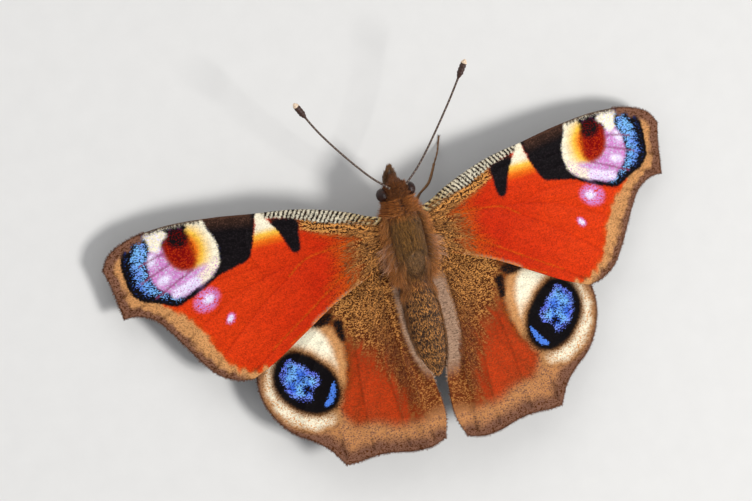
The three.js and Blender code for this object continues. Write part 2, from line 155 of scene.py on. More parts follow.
# Outlines of the markings.
MARKS = {
    "forewing": {
        "tongue": [
            (8.25, 4.9), (8.45, 3.7), (8.5, 2.7), (8.75, 2.05), (9.2, 1.9), (9.7, 2.4),
            (9.95, 3.1), (10.2, 3.9), (10.55, 4.8), (11, 5.55), (9.6, 5.75), (8.4, 5.4)
        ],
        "window": [
            (12.1, 7.2), (11.5, 6.2), (10.85, 5.3), (10.45, 4.6), (10.2, 3.8), (9.9, 3),
            (9.5, 2.2), (14.4, 2.2), (13.95, 2.9), (13.55, 3.6), (13.1, 4.6), (12.75, 5.5),
            (12.55, 6.4), (12.5, 7.2)
        ],
        "patch": [
            (12.4, 7.5), (12.6, 6.4), (13, 5), (13.55, 3.6), (14, 2.7), (14.5, 2.35), (15.2, 2.2),
            (16.2, 1.95), (17.2, 1.75), (18, 1.45), (18.9, 1), (20.3, 0.3), (21, 0.1), (20.6, 0.8),
            (19.4, 2.4), (18.6, 5), (18.7, 7.2), (18.4, 8.2), (15, 7.9)
        ],
        "eyespot": [
            (18.15, 8.1), (17.6, 6.7), (17.1, 5.6), (16.85, 4.4), (17, 3.4), (17.5, 2.45),
            (18.2, 1.75), (19, 1.2), (20, 0.7), (20.9, 0.25), (21.7, -0.1), (22.3, -0.3),
            (23.1, -0.15), (23.9, 0.25), (24.8, 0.65), (25.8, 1), (26.6, 1.7), (26.95, 2.6),
            (27.1, 3.8), (27.15, 5), (26.9, 6.2), (26.3, 7.2), (25.4, 7.8), (23, 8.2), (20.5, 8.3)
        ],
        "glow": [
            (18.1, 8.2), (17.65, 6.7), (17.15, 5.6), (16.95, 4.4), (17.1, 3.4), (17.6, 2.5),
            (18.3, 1.9), (19.1, 1.5), (20, 1.6), (20.4, 2.6), (20.5, 3.6), (20.3, 5), (20.6, 6.4),
            (20, 7.1), (19.6, 8.2)
        ],
        "core": [
            (19.65, 3.4), (19.55, 4.6), (19.65, 5.7), (19.9, 6.4), (20.6, 6.9), (21.6, 6.9),
            (22.3, 6.4), (22.6, 5.8), (22.5, 5), (22.2, 4.2), (21.7, 3.5), (20.9, 3.1),
            (20.1, 2.95)
        ],
        "coal": [
            (19.8, 6), (19.7, 6.8), (20.1, 7.4), (21.2, 7.6), (21.9, 7.1), (22, 6.3), (21.5, 5.7),
            (20.6, 5.4)
        ],
        "snow": [
            (21.75, 7), (22, 7.7), (23, 8), (24.1, 7.8), (24.5, 7.1), (24.1, 6.1), (23.3, 5.5),
            (22.8, 5.9), (22.5, 6.6)
        ],
        "lilac": [
            (22.5, 5.7), (23.4, 6.2), (24.2, 5.9), (24.7, 4.9), (24.9, 3.8), (24.7, 2.7),
            (24, 1.8), (23, 1), (22, 0.5), (21, 0.5), (19.9, 1), (18.8, 1.7), (17.9, 2.6),
            (18.1, 3), (19.3, 3.1), (20.3, 3), (21.4, 3.4), (22, 4.2), (22.4, 5)
        ],
        "sky": [
            (24.3, 7.3), (25.2, 6.9), (25.9, 6.3), (26.4, 5.3), (26.6, 4.3), (26.5, 3.3),
            (26.2, 2.3), (25.4, 1.5), (24.3, 1.15), (23.4, 0.65), (22.6, 0.2), (21.6, 0.25),
            (22.8, 0.9), (24, 1.8), (24.5, 2.8), (24.6, 4.2), (24.2, 5.6), (24, 6.4)
        ],
        "rim": [
            (24.5, 8.4), (25, 7), (25.6, 5), (25.8, 3), (25.3, 1.6), (24.4, 0.9), (23.9, 0.2),
            (22.9, -0.7), (21.9, -1.6), (21, -2.8), (20.2, -4.2), (19.7, -5.5), (19.2, -6.7),
            (18.4, -7.8), (17.4, -8.6), (16.2, -9.1), (15, -9), (16, -11), (24, -11), (31, -5),
            (31, 8), (27, 9)
        ],
    },
    "hindwing": {
        "flank": [
            (10.6, -5.6), (8.4, -5.9), (7.3, -7), (6.75, -8.6), (6.75, -10.3), (7.15, -11.8),
            (7.7, -12.9), (8.3, -12.6), (8.6, -11.2), (9.4, -9.7), (10.6, -8.5), (12, -7.7),
            (13.6, -7.9), (13, -6)
        ],
        "skirt": [
            (14.5, -8.6), (15.3, -9.8), (15.6, -11.3), (15.3, -13), (14.5, -14.4), (13.2, -15.7),
            (11.7, -16.4), (10.1, -16.5), (9.1, -16), (9.3, -15.2), (11, -15.2), (12.8, -14.3),
            (14, -12.8), (14.5, -11.2), (14.3, -9.8), (13.8, -8.8)
        ],
        "oval": [
            (12, -8.1), (13.3, -8.4), (14.2, -9.4), (14.55, -10.9), (14.1, -12.4), (13.1, -13.7),
            (11.6, -14.7), (10.1, -15), (8.9, -14.6), (8.25, -13.6), (8.15, -12.3), (8.6, -11),
            (9.5, -9.8), (10.7, -8.7)
        ],
        "blob": [
            (12.4, -8.6), (13.3, -9), (13.9, -10), (13.9, -11.3), (13.3, -12.5), (12.2, -13.4),
            (11.2, -13.6), (10.9, -13.1), (10.9, -12.5), (10.3, -12.3), (9.8, -11.8), (9.8, -11),
            (10.6, -10.2), (11.4, -9.3)
        ],
        "notch": [(11.1, -11.9), (11.7, -11.9), (11.9, -12.4), (11.4, -12.7), (11, -12.5)],
        "crescent": [
            (8.45, -12.1), (8.8, -12.4), (9.15, -13.1), (9.8, -13.9), (10.1, -14.5), (9.5, -14.5),
            (8.8, -13.9), (8.45, -13.1)
        ],
        "rust": [
            (2.2, -12), (3.6, -10.3), (5.6, -9.4), (6.8, -11.4), (7.6, -13.4), (8.3, -15),
            (7.9, -16), (6.2, -16.9), (4, -17.8), (2.2, -18.4), (0.9, -18.2), (1.2, -16.3),
            (1.6, -14)
        ],
        "spot": [(6, -6.2), (6.9, -6), (6.85, -7.2), (6.65, -8.3), (6.15, -8.4), (6.05, -7.2)],
        "bar": [(6.8, -5.3), (8.3, -5), (9.8, -5.7), (8.4, -6.3), (7.3, -6.1)],
    },
}

# Widths of bands along a wing: places along it, and the width at each.
WIDTHS = {
    "forewing": {
        "base": ([-9, -5, -3, 0, 2.5, 5], [5.4, 4.8, 3.7, 3.1, 2.7, 4.6]),
        "costa": ([0, 4, 6, 9, 12.2, 13], [0.7, 1.25, 1.3, 0.9, 0.55, 0.4]),
        "rim": ([16, 18, 22, 25, 27, 29], [0.4, 0.75, 0.75, 0.7, 1.0, 1.15]),
    },
    "hindwing": {
        "base": (
            [-21, -18, -15, -12, -10, -8.5, -7, -4, 1], [-0.5, 0.4, 1.1, 2, 3.4, 5, 6, 7.4, 9]),
        "band": ([-2, 2, 6, 9, 12, 15, 17], [3.2, 3.1, 3.6, 4.2, 3, 1.7, 1.5]),
        "rim": ([-2, 2, 6, 9, 12, 15, 17], [1, 1.2, 1.3, 1.3, 0.9, 0.65, 0.55]),
        "hair": ([0, 6, 9, 13, 18], [6, 5, 3.4, 2, 1.4]),
    },
}
INNER_STRIP = {"left": 0.72, "right": 1.3}
BAR_PITCH = 0.48
CROWN_PITCH = 0.44
COMB_PITCH = 0.3

# Thin lines of colour on the forewing.
FOLDS = [
    [(3, 1.6), (8.5, 1), (10.5, -0.3)],
    [(5, -1.6), (9, -4.2), (14, -7.3)],
    [(4, -3), (8, -5.2), (12, -7.2)],
]
GOLD_TRAIL = [(3, -3), (5, -3.75), (7, -4.7), (9, -5.8)]
CREAM_ARC = [(17.7, 3.1), (18.5, 2.3), (19.6, 1.75)]
FROST_ARC = [(20, 1.65), (21, 1.3), (22.3, 0.95)]
EYESPOT_VEINS = [
    [(20.1, 2.95), (21.6, 2.3), (23.5, 1.4), (24.4, 1)],
    [(22.2, 4.1), (23.6, 3.6), (25.6, 2.8)],
    [(22.6, 5.3), (24, 5), (25.4, 4.6)],
]

# Small oval marks on the forewing: middle, half sizes, tilt, softness, colour, and the second
# colour and its share where they aren't the usual ones.
DOTS = [
    ((19.4, -0.5), (1.45, 1.05), -28, 0.28, "lilac", "red", 0.28),
    ((19.2, -0.45), (0.62, 0.45), -25, 0.5, "frost", "lilac", 0.2),
    ((17.45, -3), (0.62, 0.4), -48, 0.35, "lilac", "red", 0.2),
    ((17.45, -3), (0.4, 0.24), -48, 0.35, "frost"),
]
FROST_SPOTS = [
    ((24, 4.9), (0.7, 0.42), -60, 0.5, "frost", "lilac", 0.12),
    ((23.2, 2.6), (0.75, 0.42), -20, 0.5, "frost", "lilac", 0.12),
]
CROWN_SPOTS = [(centre, (0.34, 0.16), 20, 0.5, "black")
               for centre in ((19.9, 7.45), (20.9, 7.55), (21.75, 7.5))]

# Rows of random numbers: one start for each thing that is strewn.
PAINT_SEEDS = {"forewing": {"left": 11, "right": 13}, "hindwing": {"left": 12, "right": 14}}
SKIN_SEED = 7
FRINGE_SEED = 71
WING_HAIR_SEED = 83
PALP_SEED = 31
LEG_SEED = 41

# The fringe grows along these edges, from this place out on the forewing's costa.
FRINGED = {"forewing": ("costa", "apex", "margin"), "hindwing": ("margin", "hem", "inner")}
FRINGE_START = 24
WING_MIDDLE = {"forewing": (15, -1), "hindwing": (6, -10)}
FRINGE_WIDTH = 0.085
WING_HAIR_WIDTH = 0.036

# The body's sections from the front of the head to the tip of the abdomen: forward, half width,
# middle height, half height, as in the part, and how deep the coat is there.
HEAD_SECTIONS = [
    (6.8, 0.55, 6.5, 0.5, 0.4), (6.68, 0.75, 6.5, 0.72, 0.44), (6.39, 1.04, 6.5, 0.98, 0.48),
    (5.88, 1.27, 6.5, 1.18, 0.42), (5.3, 1.3, 6.5, 1.2, 0.28), (4.82, 1.17, 6.5, 1.05, 0.18)
]
THORAX_SECTIONS = [
    (4.35, 1.1, 6.52, 1.05, 0.3), (3.7, 1.66, 6.4, 1.5, 0.4), (3, 2, 6.25, 1.85, 0.45),
    (2, 2.25, 6.1, 2.09, 0.45), (0.5, 2.3, 6, 2.2, 0.45), (-1.2, 2.25, 5.95, 2.11, 0.45),
    (-2.4, 2.07, 5.85, 1.89, 0.42), (-3.2, 1.75, 5.7, 1.58, 0.36), (-3.7, 1.42, 5.55, 1.3, 0.26)
]
ABDOMEN_FRONT = -3.9
ABDOMEN_LENGTH = 10.8
ABDOMEN_HALF_WIDTH = 1.95
ABDOMEN_RINGS = 8
BODY_FRONT = 6.8
BODY_LENGTH = BODY_FRONT - ABDOMEN_FRONT + ABDOMEN_LENGTH
HEAD_REAR = 4.4
SHIELD = {"rear": 2.1, "radius": 1.42}
SKIN_SIDES = 96
SKIN_RINGS = 230

# Hair over the body. It grows from front to rear, as long as a size of the panel times a share. The
# way it lies is back along the body, out to the side and leaning off the skin, by the given shares.
COATS = {
    "thorax_hair": {
        "slot": "body_fur", "count": 10500, "front": 4.3, "rear": -3.9,
        "length": ("thorax_hair", 1), "width": 0.055, "lift": 0.5, "seed": 21},
    "collar_hair": {
        "slot": "body_fur", "count": 2400, "front": 4.7, "rear": 3.0,
        "length": ("thorax_hair", 1.15), "width": 0.06, "lift": 0.5, "seed": 24,
        "lean": 0.6, "back": -0.2, "out": 0.6, "spread": 0.5, "tint": {"ginger": 1}},
    "shoulder_hair": {
        "slot": "body_fur", "count": 3400, "front": 3.4, "rear": -3.4,
        "length": ("thorax_hair", 1.75), "width": 0.045, "lift": 0.25, "seed": 25, "back": 0.6,
        "out": 1.0, "spread": 0.45, "sides": (-0.05, 0.55),
        "tint": {"ginger": 0.5, "base_gold": 0.5}},
    "abdomen_flank_hair": {
        "slot": "abdomen_fur", "count": 2600, "front": -3.9, "rear": -13.6,
        "length": ("abdomen_hair", 1.9), "width": 0.045, "lift": 0.25, "seed": 29, "back": 0.9,
        "out": 0.6, "spread": 0.35, "sides": (-0.35, 0.35),
        "tint": {"base_gold": 0.35, "base_brown": 0.8}},
    "shoulder_tufts": {
        "slot": "body_fur", "count": 420, "front": 0.4, "rear": -2.2,
        "length": ("thorax_hair", 2.3), "width": 0.05, "lift": 0.5, "seed": 26, "back": 0.35,
        "out": 1.0, "spread": 0.5, "sides": (0.05, 0.5), "tint": {"inner": 0.95, "ginger": 0.35}},
    "mantle_hair": {
        "slot": "body_fur", "count": 2000, "front": -1.6, "rear": -4.2,
        "length": ("thorax_hair", 2.4), "width": 0.045, "lift": 0.2, "seed": 27, "out": 0.42,
        "spread": 0.25, "sides": (-0.25, 0.95), "tint": {"ginger": 0.5, "base_gold": 0.4}},
    "abdomen_hair": {
        "slot": "abdomen_fur", "count": 10500, "front": -3.7, "rear": -14.35,
        "length": ("abdomen_hair", 1), "width": 0.07, "lift": 0.42, "seed": 22},
    "head_hair": {
        "slot": "body_fur", "count": 2800, "front": 6.3, "rear": 4.5, "length": ("head_hair", 1),
        "width": 0.062, "lift": 0.4, "seed": 23, "lean": 0.9, "back": -0.35, "spread": 0.6},
    "face_hair": {
        "slot": "body_fur", "count": 1900, "front": 6.7, "rear": 5.7, "length": ("head_hair", 1.35),
        "width": 0.055, "lift": 0.3, "seed": 28, "lean": 0.16, "back": -1.0, "spread": 0.3},
}

EYE = {"out": 1.52, "forward": 5.45, "height": 6.5}
EYE_RADII = (0.64, 0.74, 0.8)
PALP_LINE = [(0.5, 6.1, 5.1), (0.44, 6.8, 5.35), (0.32, 7.5, 5.8), (0.12, 8.25, 6.4)]
PALP_RADIUS = 0.33
PALP_SIDES = 20
PROBOSCIS = {"forward": 6.35, "height": 4.8, "outer": 0.51, "inner": 0.12, "turns": 2.4}
ANTENNA_LINE = [(0.95, 6.05, 7.85), (2.9, 7.9, 8.2), (7.1, 13.3, 9.4), (9.5, 17.2, 10.9)]
ANTENNA_JOINTS = 38
ANTENNA_SIDES = 14
LEG_SIDES = 14
LEG_DROP = 0.12
FOOT_HEIGHT = 0.095
FORELEG = [(0.75, 2.6, 3.75), (1, 3.7, 3.8), (1.05, 4.8, 4), (0.9, 5.7, 4.3)]
HINDLEG = [
    (1.15, -1.5, 3.4), (2.3, -2.2, 3.4), (3.5, -3, 3.2), (4.7, -4.8, 2), (5.7, -6.6, 1.1),
    (6.5, -8, 0.55), (7, -8.9, 0.23), (7.4, -9.7, 0.2)
]
LEGS = {
    "foreleg_left": FORELEG,
    "foreleg_right": FORELEG,
    "midleg_left": [
        (1.25, 1.7, 3.4), (2.4, 2.4, 3.5), (3.6, 2.9, 3.3), (5, 3.1, 2.2), (6.4, 3.3, 1.2),
        (7.5, 3.5, 0.6), (8.2, 3.6, 0.25), (9, 3.7, 0.2)
    ],
    "midleg_right": [
        (1.25, 1.7, 3.4), (2.2, 3.1, 3.75), (3.1, 4.3, 3.95), (4.7, 5.2, 3.05), (6.3, 7, 1.55),
        (7.2, 8.1, 0.75), (7.65, 8.9, 0.25), (7.95, 9.6, 0.2)
    ],
    "hindleg_left": HINDLEG,
    "hindleg_right": HINDLEG,
}

COLOURS = {
    "red": ("Red ground of the forewing", (218, 58, 14)),
    "deep_red": ("Red ground near the base", (186, 32, 8)),
    "cream": ("Cream of the costa and rings", (250, 238, 208)),
    "yellow": ("Yellow of the window and eyespot", (250, 196, 70)),
    "orange": ("Orange between yellow and red", (236, 112, 22)),
    "maroon": ("Core of the forewing eyespot", (128, 8, 6)),
    "black": ("Black of patches and rings", (16, 12, 14)),
    "lilac": ("Lilac of the forewing eyespot", (206, 132, 196)),
    "frost": ("White of the lilac spots", (236, 226, 250)),
    "blue": ("Blue scales", (54, 98, 210)),
    "pale_blue": ("Paler blue scales", (128, 192, 246)),
    "violet": ("Violet scales among the blue", (116, 112, 230)),
    "base_brown": ("Dark scales of the wing bases", (62, 32, 12)),
    "base_gold": ("Gold scales of the wing bases", (214, 146, 76)),
    "rust": ("Rust red of the hindwing", (184, 58, 18)),
    "tan": ("Tan band inside the margins", (208, 148, 92)),
    "margin": ("Grey-brown of the margins", (122, 84, 66)),
    "inner": ("Pale inner strip of the hindwing", (180, 144, 117)),
    "olive": ("Olive hair of the thorax", (128, 86, 34)),
    "ginger": ("Ginger hair of the collar", (160, 94, 38)),
    "abdomen_dark": ("Dark scales of the abdomen", (72, 41, 19)),
    "abdomen_gold": ("Gold scales of the abdomen", (204, 137, 66)),
    "horn": ("Legs and palps", (150, 100, 48)),
    "antenna": ("Antennae", (72, 44, 32)),
    "eye": ("Compound eyes", (50, 24, 14)),
    "underside": ("Underside of the wings", (26, 20, 18)),
    "floor": ("Floor", (226, 224, 220)),
}

# The camera: its angles, and the place that it looks at from a distance.
CAMERA = {"side": 15.0, "tilt": 4.62, "roll": 15.27}
CAMERA_TARGET = (-3.21, -0.08, 5.0)
CAMERA_DISTANCE = 350.0
CAMERA_LENS = 159.574
# Lamps: the way to each by the camera's right, up and back, then its size and power.
LAMPS = {
    "key": ((0.85, -0.3, 0.75), 0.14, 2.3),
    "fill": ((-0.7, 0.4, 0.9), 0.5, 0.55),
    "top": ((0, 0.8, 0.8), 0.4, 0.6),
}
LAMP_DISTANCE = 0.55
FLOOR_RADIUS = 1.5
ROOM_LIGHT = {"Color": (0.9, 0.93, 1.0, 1), "Strength": 0.36}


def linear(colour):
    """An sRGB colour of 0 to 255 as the linear values that shaders use."""
    c = np.array(colour, float) / 255
    return np.where(c <= 0.04045, c / 12.92, ((c + 0.055) / 1.055) ** 2.4)


# The panel's sizes and colours.


def length_property(name, description, millimetres):
    return bpy.props.FloatProperty(
        name=name, description=description, default=millimetres * MM, min=0, precision=6,
        unit="LENGTH")


class ButterflySizes(bpy.types.PropertyGroup):
    """Sizes of the finished surfaces."""

    membrane: length_property("Membrane", "Thickness of a wing with its scales", 0.12)
    vein_height: length_property("Vein height", "How far a vein stands over the membrane", 0.075)
    mesh_step: length_property("Wing mesh step", "Spacing of the undivided wing mesh", 0.52)
    thorax_hair: length_property("Thorax hair", "Length of the hair on the thorax", 1.0)
    abdomen_hair: length_property("Abdomen hair", "Length of the hair on the abdomen", 0.34)
    head_hair: length_property("Head hair", "Length of the hair on the head", 0.7)
    wing_hair: length_property("Wing hair", "Length of the hair on the wing bases", 1.1)
    fringe: length_property("Fringe", "Length of the fringe along the margins", 0.3)
    antenna_radius: length_property("Antenna radius", "Half thickness of an antenna", 0.115)
    club_radius: length_property("Club radius", "Half thickness of an antenna's club", 0.35)


class ButterflyColours(bpy.types.PropertyGroup):
    """Colours of the scales, the hair and the floor."""

    __annotations__ = {
        key: bpy.props.FloatVectorProperty(
            name=key.replace("_", " ").capitalize(), description=text, default=tuple(linear(rgb)),
            subtype="COLOR", size=3, min=0, max=1)
        for key, (text, rgb) in COLOURS.items()
    }


def size_of(name):
    """A size from the panel, in millimetres."""
    return getattr(bpy.context.scene.butterfly_sizes, name) / MM


def colour_of(name):
    return np.array(getattr(bpy.context.scene.butterfly_colours, name))


def palette():
    """All the panel's colours by name."""
    return SimpleNamespace(**{name: colour_of(name) for name in COLOURS})


# Lines and distances.


def smooth_line(points, step, closed=False):
    """Points a step apart on the smooth curve through the given points, in any number of axes."""
    p = np.array(points, float)
    if closed:
        p = np.vstack([p[-1:], p, p[:2]])
    else:
        p = np.vstack([2 * p[0] - p[1], p, 2 * p[-1] - p[-2]])
    t = np.linspace(0, 1, 24, endpoint=False)[:, None]
    run = []
    for p0, p1, p2, p3 in zip(p, p[1:], p[2:], p[3:]):
        pairs = ((p0, p1), (p1, p2), (p2, p3))
        d0, d1, d2 = (max(1e-6, np.linalg.norm(b - a)) ** 0.5 for a, b in pairs)
        m1 = ((p1 - p0) / d0 - (p2 - p0) / (d0 + d1) + (p2 - p1) / d1) * d1
        m2 = ((p2 - p1) / d1 - (p3 - p1) / (d1 + d2) + (p3 - p2) / d2) * d1
        square, cube = 3 * (p2 - p1) - 2 * m1 - m2, 2 * (p1 - p2) + m1 + m2
        run.append(p1 + m1 * t + square * t**2 + cube * t**3)
    run = np.vstack([*run, p[-2:-1]])
    gone = np.concatenate([[0], np.cumsum(np.linalg.norm(np.diff(run, axis=0), axis=1))])
    stops = np.linspace(0, gone[-1], max(2, round(gone[-1] / step)) + 1)
    line = np.column_stack([np.interp(stops, gone, run[:, k]) for k in range(run.shape[1])])
    return line[:-1] if closed else line


def distance_to_line(points, line):
    """Each point's distance to a line of points, and how far along the line it is."""
    starts, spans = line[:-1], np.diff(line, axis=0)
    squared = np.maximum((spans**2).sum(1), 1e-12)
    gone = np.concatenate([[0], np.cumsum(np.sqrt(squared))])
    best = np.full(len(points), 1e9)
    along = np.zeros(len(points))
    for start, span, square, before in zip(starts, spans, squared, gone):
        t = np.clip(((points - start) @ span) / square, 0, 1)
        d = np.hypot(*(points - start - t[:, None] * span).T)
        nearer = d < best
        best = np.where(nearer, d, best)
        along = np.where(nearer, before + t * math.sqrt(square), along)
    return best, along


def is_inside(points, loop):
    inside = np.zeros(len(points), bool)
    u, v = points.T
    for (ui, vi), (uj, vj) in zip(loop, np.roll(loop, 1, axis=0)):
        if vi != vj:
            inside ^= ((vi > v) != (vj > v)) & (u < (uj - ui) * (v - vi) / (vj - vi) + ui)
    return inside


def depth_in(points, loop):
    """How far each point is inside a closed loop of points, negative outside it."""
    d, _ = distance_to_line(points, np.vstack([loop, loop[:1]]))
    return np.where(is_inside(points, loop), d, -d)


def ramp(x, low, high):
    """0 up to the low end and 1 from the high end, smooth between them. The ends may be swapped."""
    t = np.clip((x - low) / (high - low), 0, 1)
    return t * t * (3 - 2 * t)


def bell(x, width):
    """1 at zero, falling smoothly away to both sides."""
    return np.exp(-((x / width) ** 2))


def mix(first, second, share):
    return first + (second - first) * share


def blend_stops(x, stops):
    """Colours along a row of (place, colour) stops."""
    places = [s[0] for s in stops]
    return np.column_stack([np.interp(x, places, [s[1][k] for s in stops]) for k in range(3)])


def ripple(u, v, seed, size):
    """A smooth random field between about -1 and 1 with features of the given size."""
    rng = np.random.default_rng(seed)
    total = 0
    for _ in range(6):
        a, phase = rng.uniform(0, TURN, 2)
        across = (u * math.cos(a) + v * math.sin(a)) / size
        total = total + np.sin(across * rng.uniform(0.7, 1.5) * 6.3 + phase)
    return total / 3


def fanned(u, v, seed):
    """A random field in streaks that fan out from the wing's root."""
    return ripple(np.arctan2(v, u + 2) * 14, np.hypot(u, v) * 0.12, seed, size=0.9)


# Markings.


class Paint:
    """A wing's colours at its mesh points: a ground colour, a second colour for single scales, and
    the share of scales that take it."""

    def __init__(self, wing, side_name, points):
        rng = np.random.default_rng(PAINT_SEEDS[wing][side_name])
        self.wing = wing
        self.side_name = side_name
        self.colours = palette()
        self.at = points + rng.normal(0, 0.045, points.shape)
        self.chance = rng.uniform(0, 1, len(points))
        self.ground = np.zeros((len(points), 3))
        self.second = np.zeros((len(points), 3))
        self.share = np.zeros(len(points))

    def lay(self, mask, ground, second=None, share=0.3):
        mask = np.clip(mask, 0, 1) * np.ones(len(self.at))
        second = ground * 0.72 if second is None else second
        self.ground += (ground - self.ground) * mask[:, None]
        self.second += (second - self.second) * mask[:, None]
        self.share += (share - self.share) * mask

    def depth(self, name):
        """How far each point is inside the named marking."""
        return depth_in(self.at, smooth_line(MARKS[self.wing][name], 0.3, closed=True))

    def away(self, line):
        """Each point's distance to a smooth line, and how far along it the point is."""
        return distance_to_line(self.at, smooth_line(line, MEASURE_STEP))

    def mark(self, name, soft, *colours):
        """Lays a colour inside the named marking, blurred over the given width."""
        self.lay(ramp(self.depth(name), -soft, soft), *colours)

    def stroke(self, line, width, soft, strength, *colours):
        self.lay(strength * ramp(self.away(line)[0], width + soft, width), *colours)

    def dabs(self, rows):
        """Lays tilted ovals, solid inside and fading over a share of their radius."""
        for centre, radii, tilt, soft, ground, *rest in rows:
            x, y = (self.at - centre).T
            c, s = math.cos(math.radians(tilt)), math.sin(math.radians(tilt))
            r = np.hypot((x * c + y * s) / radii[0], (y * c - x * s) / radii[1])
            rest = [getattr(self.colours, rest[0]), rest[1]] if rest else []
            self.lay(ramp(r, 1 + soft, 1 - soft), getattr(self.colours, ground), *rest)

    def vein_ends(self, out, width, reach, strength, colour):
        """Darkens the veins where they run into the margin, out being the distance from it."""
        for line in VEINS[self.wing][MARGIN_VEINS[self.wing]]:
            self.lay(ramp(self.away(line)[0], *width) * ramp(out, *reach) * strength, colour)


def paint_forewing(paint):
    u, v = paint.at.T
    c = paint.colours
    edges, widths = EDGES["forewing"], WIDTHS["forewing"]
    flow = ripple(u, v, seed=5, size=5)
    streak = fanned(u, v, seed=37)

    # Red ground, deeper towards the base.
    middle = c.deep_red * 0.5 + c.red * 0.5
    red = blend_stops(u + v * 0.3 + flow, [(3, c.deep_red), (9, middle), (15, c.red)])
    paint.lay(1, red, red * 0.74, 0.3)
    for line in VEINS["forewing"][DARK_VEINS["forewing"]]:
        paint.stroke(line, 0.02, 0.14, 0.3, c.deep_red * 0.75)
    for line in FOLDS:
        paint.stroke(line, 0.01, 0.12, 0.5, c.orange * 0.8)

    # Brown and gold scales of the base, running out along the trailing edge.
    edge = np.interp(v, *widths["base"])
    warm = ramp(u + flow * 0.4 + streak * 0.5, edge + 4.2, edge + 0.6)
    paint.lay(warm * 0.75, c.orange * 0.5 + c.rust * 0.28, c.base_brown * 1.6, 0.26)
    brown = ramp(u + flow * 0.5 + streak * 0.55, edge + 1.6, edge - 1.2)
    paint.lay(brown, c.base_brown * 1.2, c.base_gold, 0.44)
    paint.stroke(GOLD_TRAIL, 0.15, 0.4, 0.5, c.base_gold, c.cream * 0.5, 0.3)

    # Costa: black and cream bars, with gold streaks under them.
    deep, along = paint.away(edges["costa"])
    strip = np.interp(u, *widths["costa"])
    streaks = 0.5 + 0.5 * np.sin(deep * 13 + ripple(u, v, seed=3, size=6) * 2)
    under = ramp(deep, strip + 1.5, strip + 0.9) * ramp(u, 9.2, 7.6)
    paint.lay(under, c.base_brown * 0.9, c.base_gold, 0.25 + 0.6 * streaks)
    wander = 0.5 * ripple(u, v, seed=8, size=3)
    bars = np.sin((along - deep * 0.42) / BAR_PITCH * TURN + wander)
    in_strip = ramp(deep, strip + 0.1, strip - 0.1) * ramp(u, 12.6, 12.3)
    paint.lay(in_strip, c.black, c.base_brown, 0.2)
    pale = mix(c.cream * 0.75, c.yellow * 0.5, (ramp(u, 5, 1) * 0.7)[:, None])
    paint.lay(in_strip * ramp(bars, -0.25, 0.3), pale, c.cream * 0.5, 0.25)

    # Tongue, window and the large black patch.
    dark = ramp(v, 4.2, 4.7) * ramp(u, 7.9, 8.7) * ramp(u, 11.4, 10.8)
    paint.lay(dark * ramp(deep, strip - 0.05, strip + 0.1), c.black * 1.6, c.base_brown, 0.35)
    fade = blend_stops(v, [(3.3, c.red), (4, c.orange), (4.7, c.yellow), (5.3, c.cream)])
    window = ramp(paint.depth("window"), -0.12, 0.12) * ramp(v, 2.6, 3.4)
    paint.lay(window, fade, fade * 0.85, 0.2)
    for name, soft in (("tongue", 0.13), ("patch", 0.11)):
        paint.mark(name, soft, c.black, c.black * 2.5, 0.25)
    plum = ramp(u, 12.6, 13.2) * ramp(u, 18.3, 17.9) * ramp(deep, 1.7, 0.3)
    paint.lay(plum * 0.8, c.margin * 0.22, c.margin * 0.5, 0.25)

    # Tan band inside the margin, blotched, and running up behind the eyespot.
    blotch = ripple(u, v, seed=17, size=1.3)
    band = paint.depth("rim")
    paint.lay(ramp(band + 0.16 * blotch, -0.5, 0.15) * 0.6, c.orange * 0.6 + c.rust * 0.3)
    paint.lay(ramp(band + 0.2 * blotch, -0.2, 0.35), c.tan, c.tan * 0.6, 0.28)
    paint.dabs(DOTS)

    # Eyespot: black disc, glowing left part, lilac heart, blue scales, core, black outer ring.
    paint.mark("eyespot", 0.1, c.black, c.blue * 0.3, 0.12)
    arc = np.hypot(u - 20.6, (v - 5) * 0.95)
    ring = blend_stops(arc + 0.18 * flow, [
        (1.0, c.orange * 0.8), (1.45, c.orange), (2.05, c.yellow),
        (2.7, c.yellow * 0.4 + c.cream * 0.6), (3.2, c.cream)])
    paint.lay(ramp(paint.depth("glow"), -0.1, 0.15), ring, ring * 0.86, 0.25)
    paint.mark("lilac", 0.4, c.lilac, c.frost * 0.75, 0.22)
    paint.mark("snow", 0.18, c.cream, c.frost, 0.2)
    sky = paint.depth("sky")
    near = ramp(u - 0.3 * v, 26.4, 23) + paint.chance * 0.9 - 0.35
    far = ripple(u, v, seed=23, size=1.6) * 0.6 + paint.chance - 0.45
    tint = mix(c.blue, c.pale_blue, np.clip(near, 0, 1)[:, None])
    tint = mix(tint, c.violet, 0.5 * np.clip(far, 0, 1)[:, None])
    amount = 0.16 + 0.56 * ramp(sky, -0.2, 0.7) - 0.3 * ramp(u, 25.2, 26.8)
    paint.lay(ramp(sky, -0.3, 0.15), c.black, tint, amount)
    paint.stroke(CREAM_ARC, 0.3, 0.45, 0.9, c.cream, c.lilac, 0.12)
    paint.stroke(FROST_ARC, 0.32, 0.4, 0.95, c.frost, c.lilac, 0.16)
    paint.dabs(FROST_SPOTS)
    core = paint.depth("core")
    paint.lay(ramp(core, -0.45, 0.05) * ramp(arc, 2.6, 1.2), c.orange * 0.75, c.maroon, 0.35)
    paint.lay(ramp(core, -0.3, 0.4), c.maroon, c.red * 0.6, 0.34)
    paint.mark("coal", 0.34, c.black, c.maroon * 0.6, 0.3)
    for line in EYESPOT_VEINS:
        paint.stroke(line, 0.05, 0.12, 0.7, c.maroon * 0.6 + c.lilac * 0.25)
    disc = paint.depth("eyespot")
    ring = ramp(disc, 0.42, 0.2) * ramp(disc, -0.15, 0) * ramp(u, 19.2, 20.4) * ramp(v, 7.4, 6.9)
    paint.lay(ring, c.black)

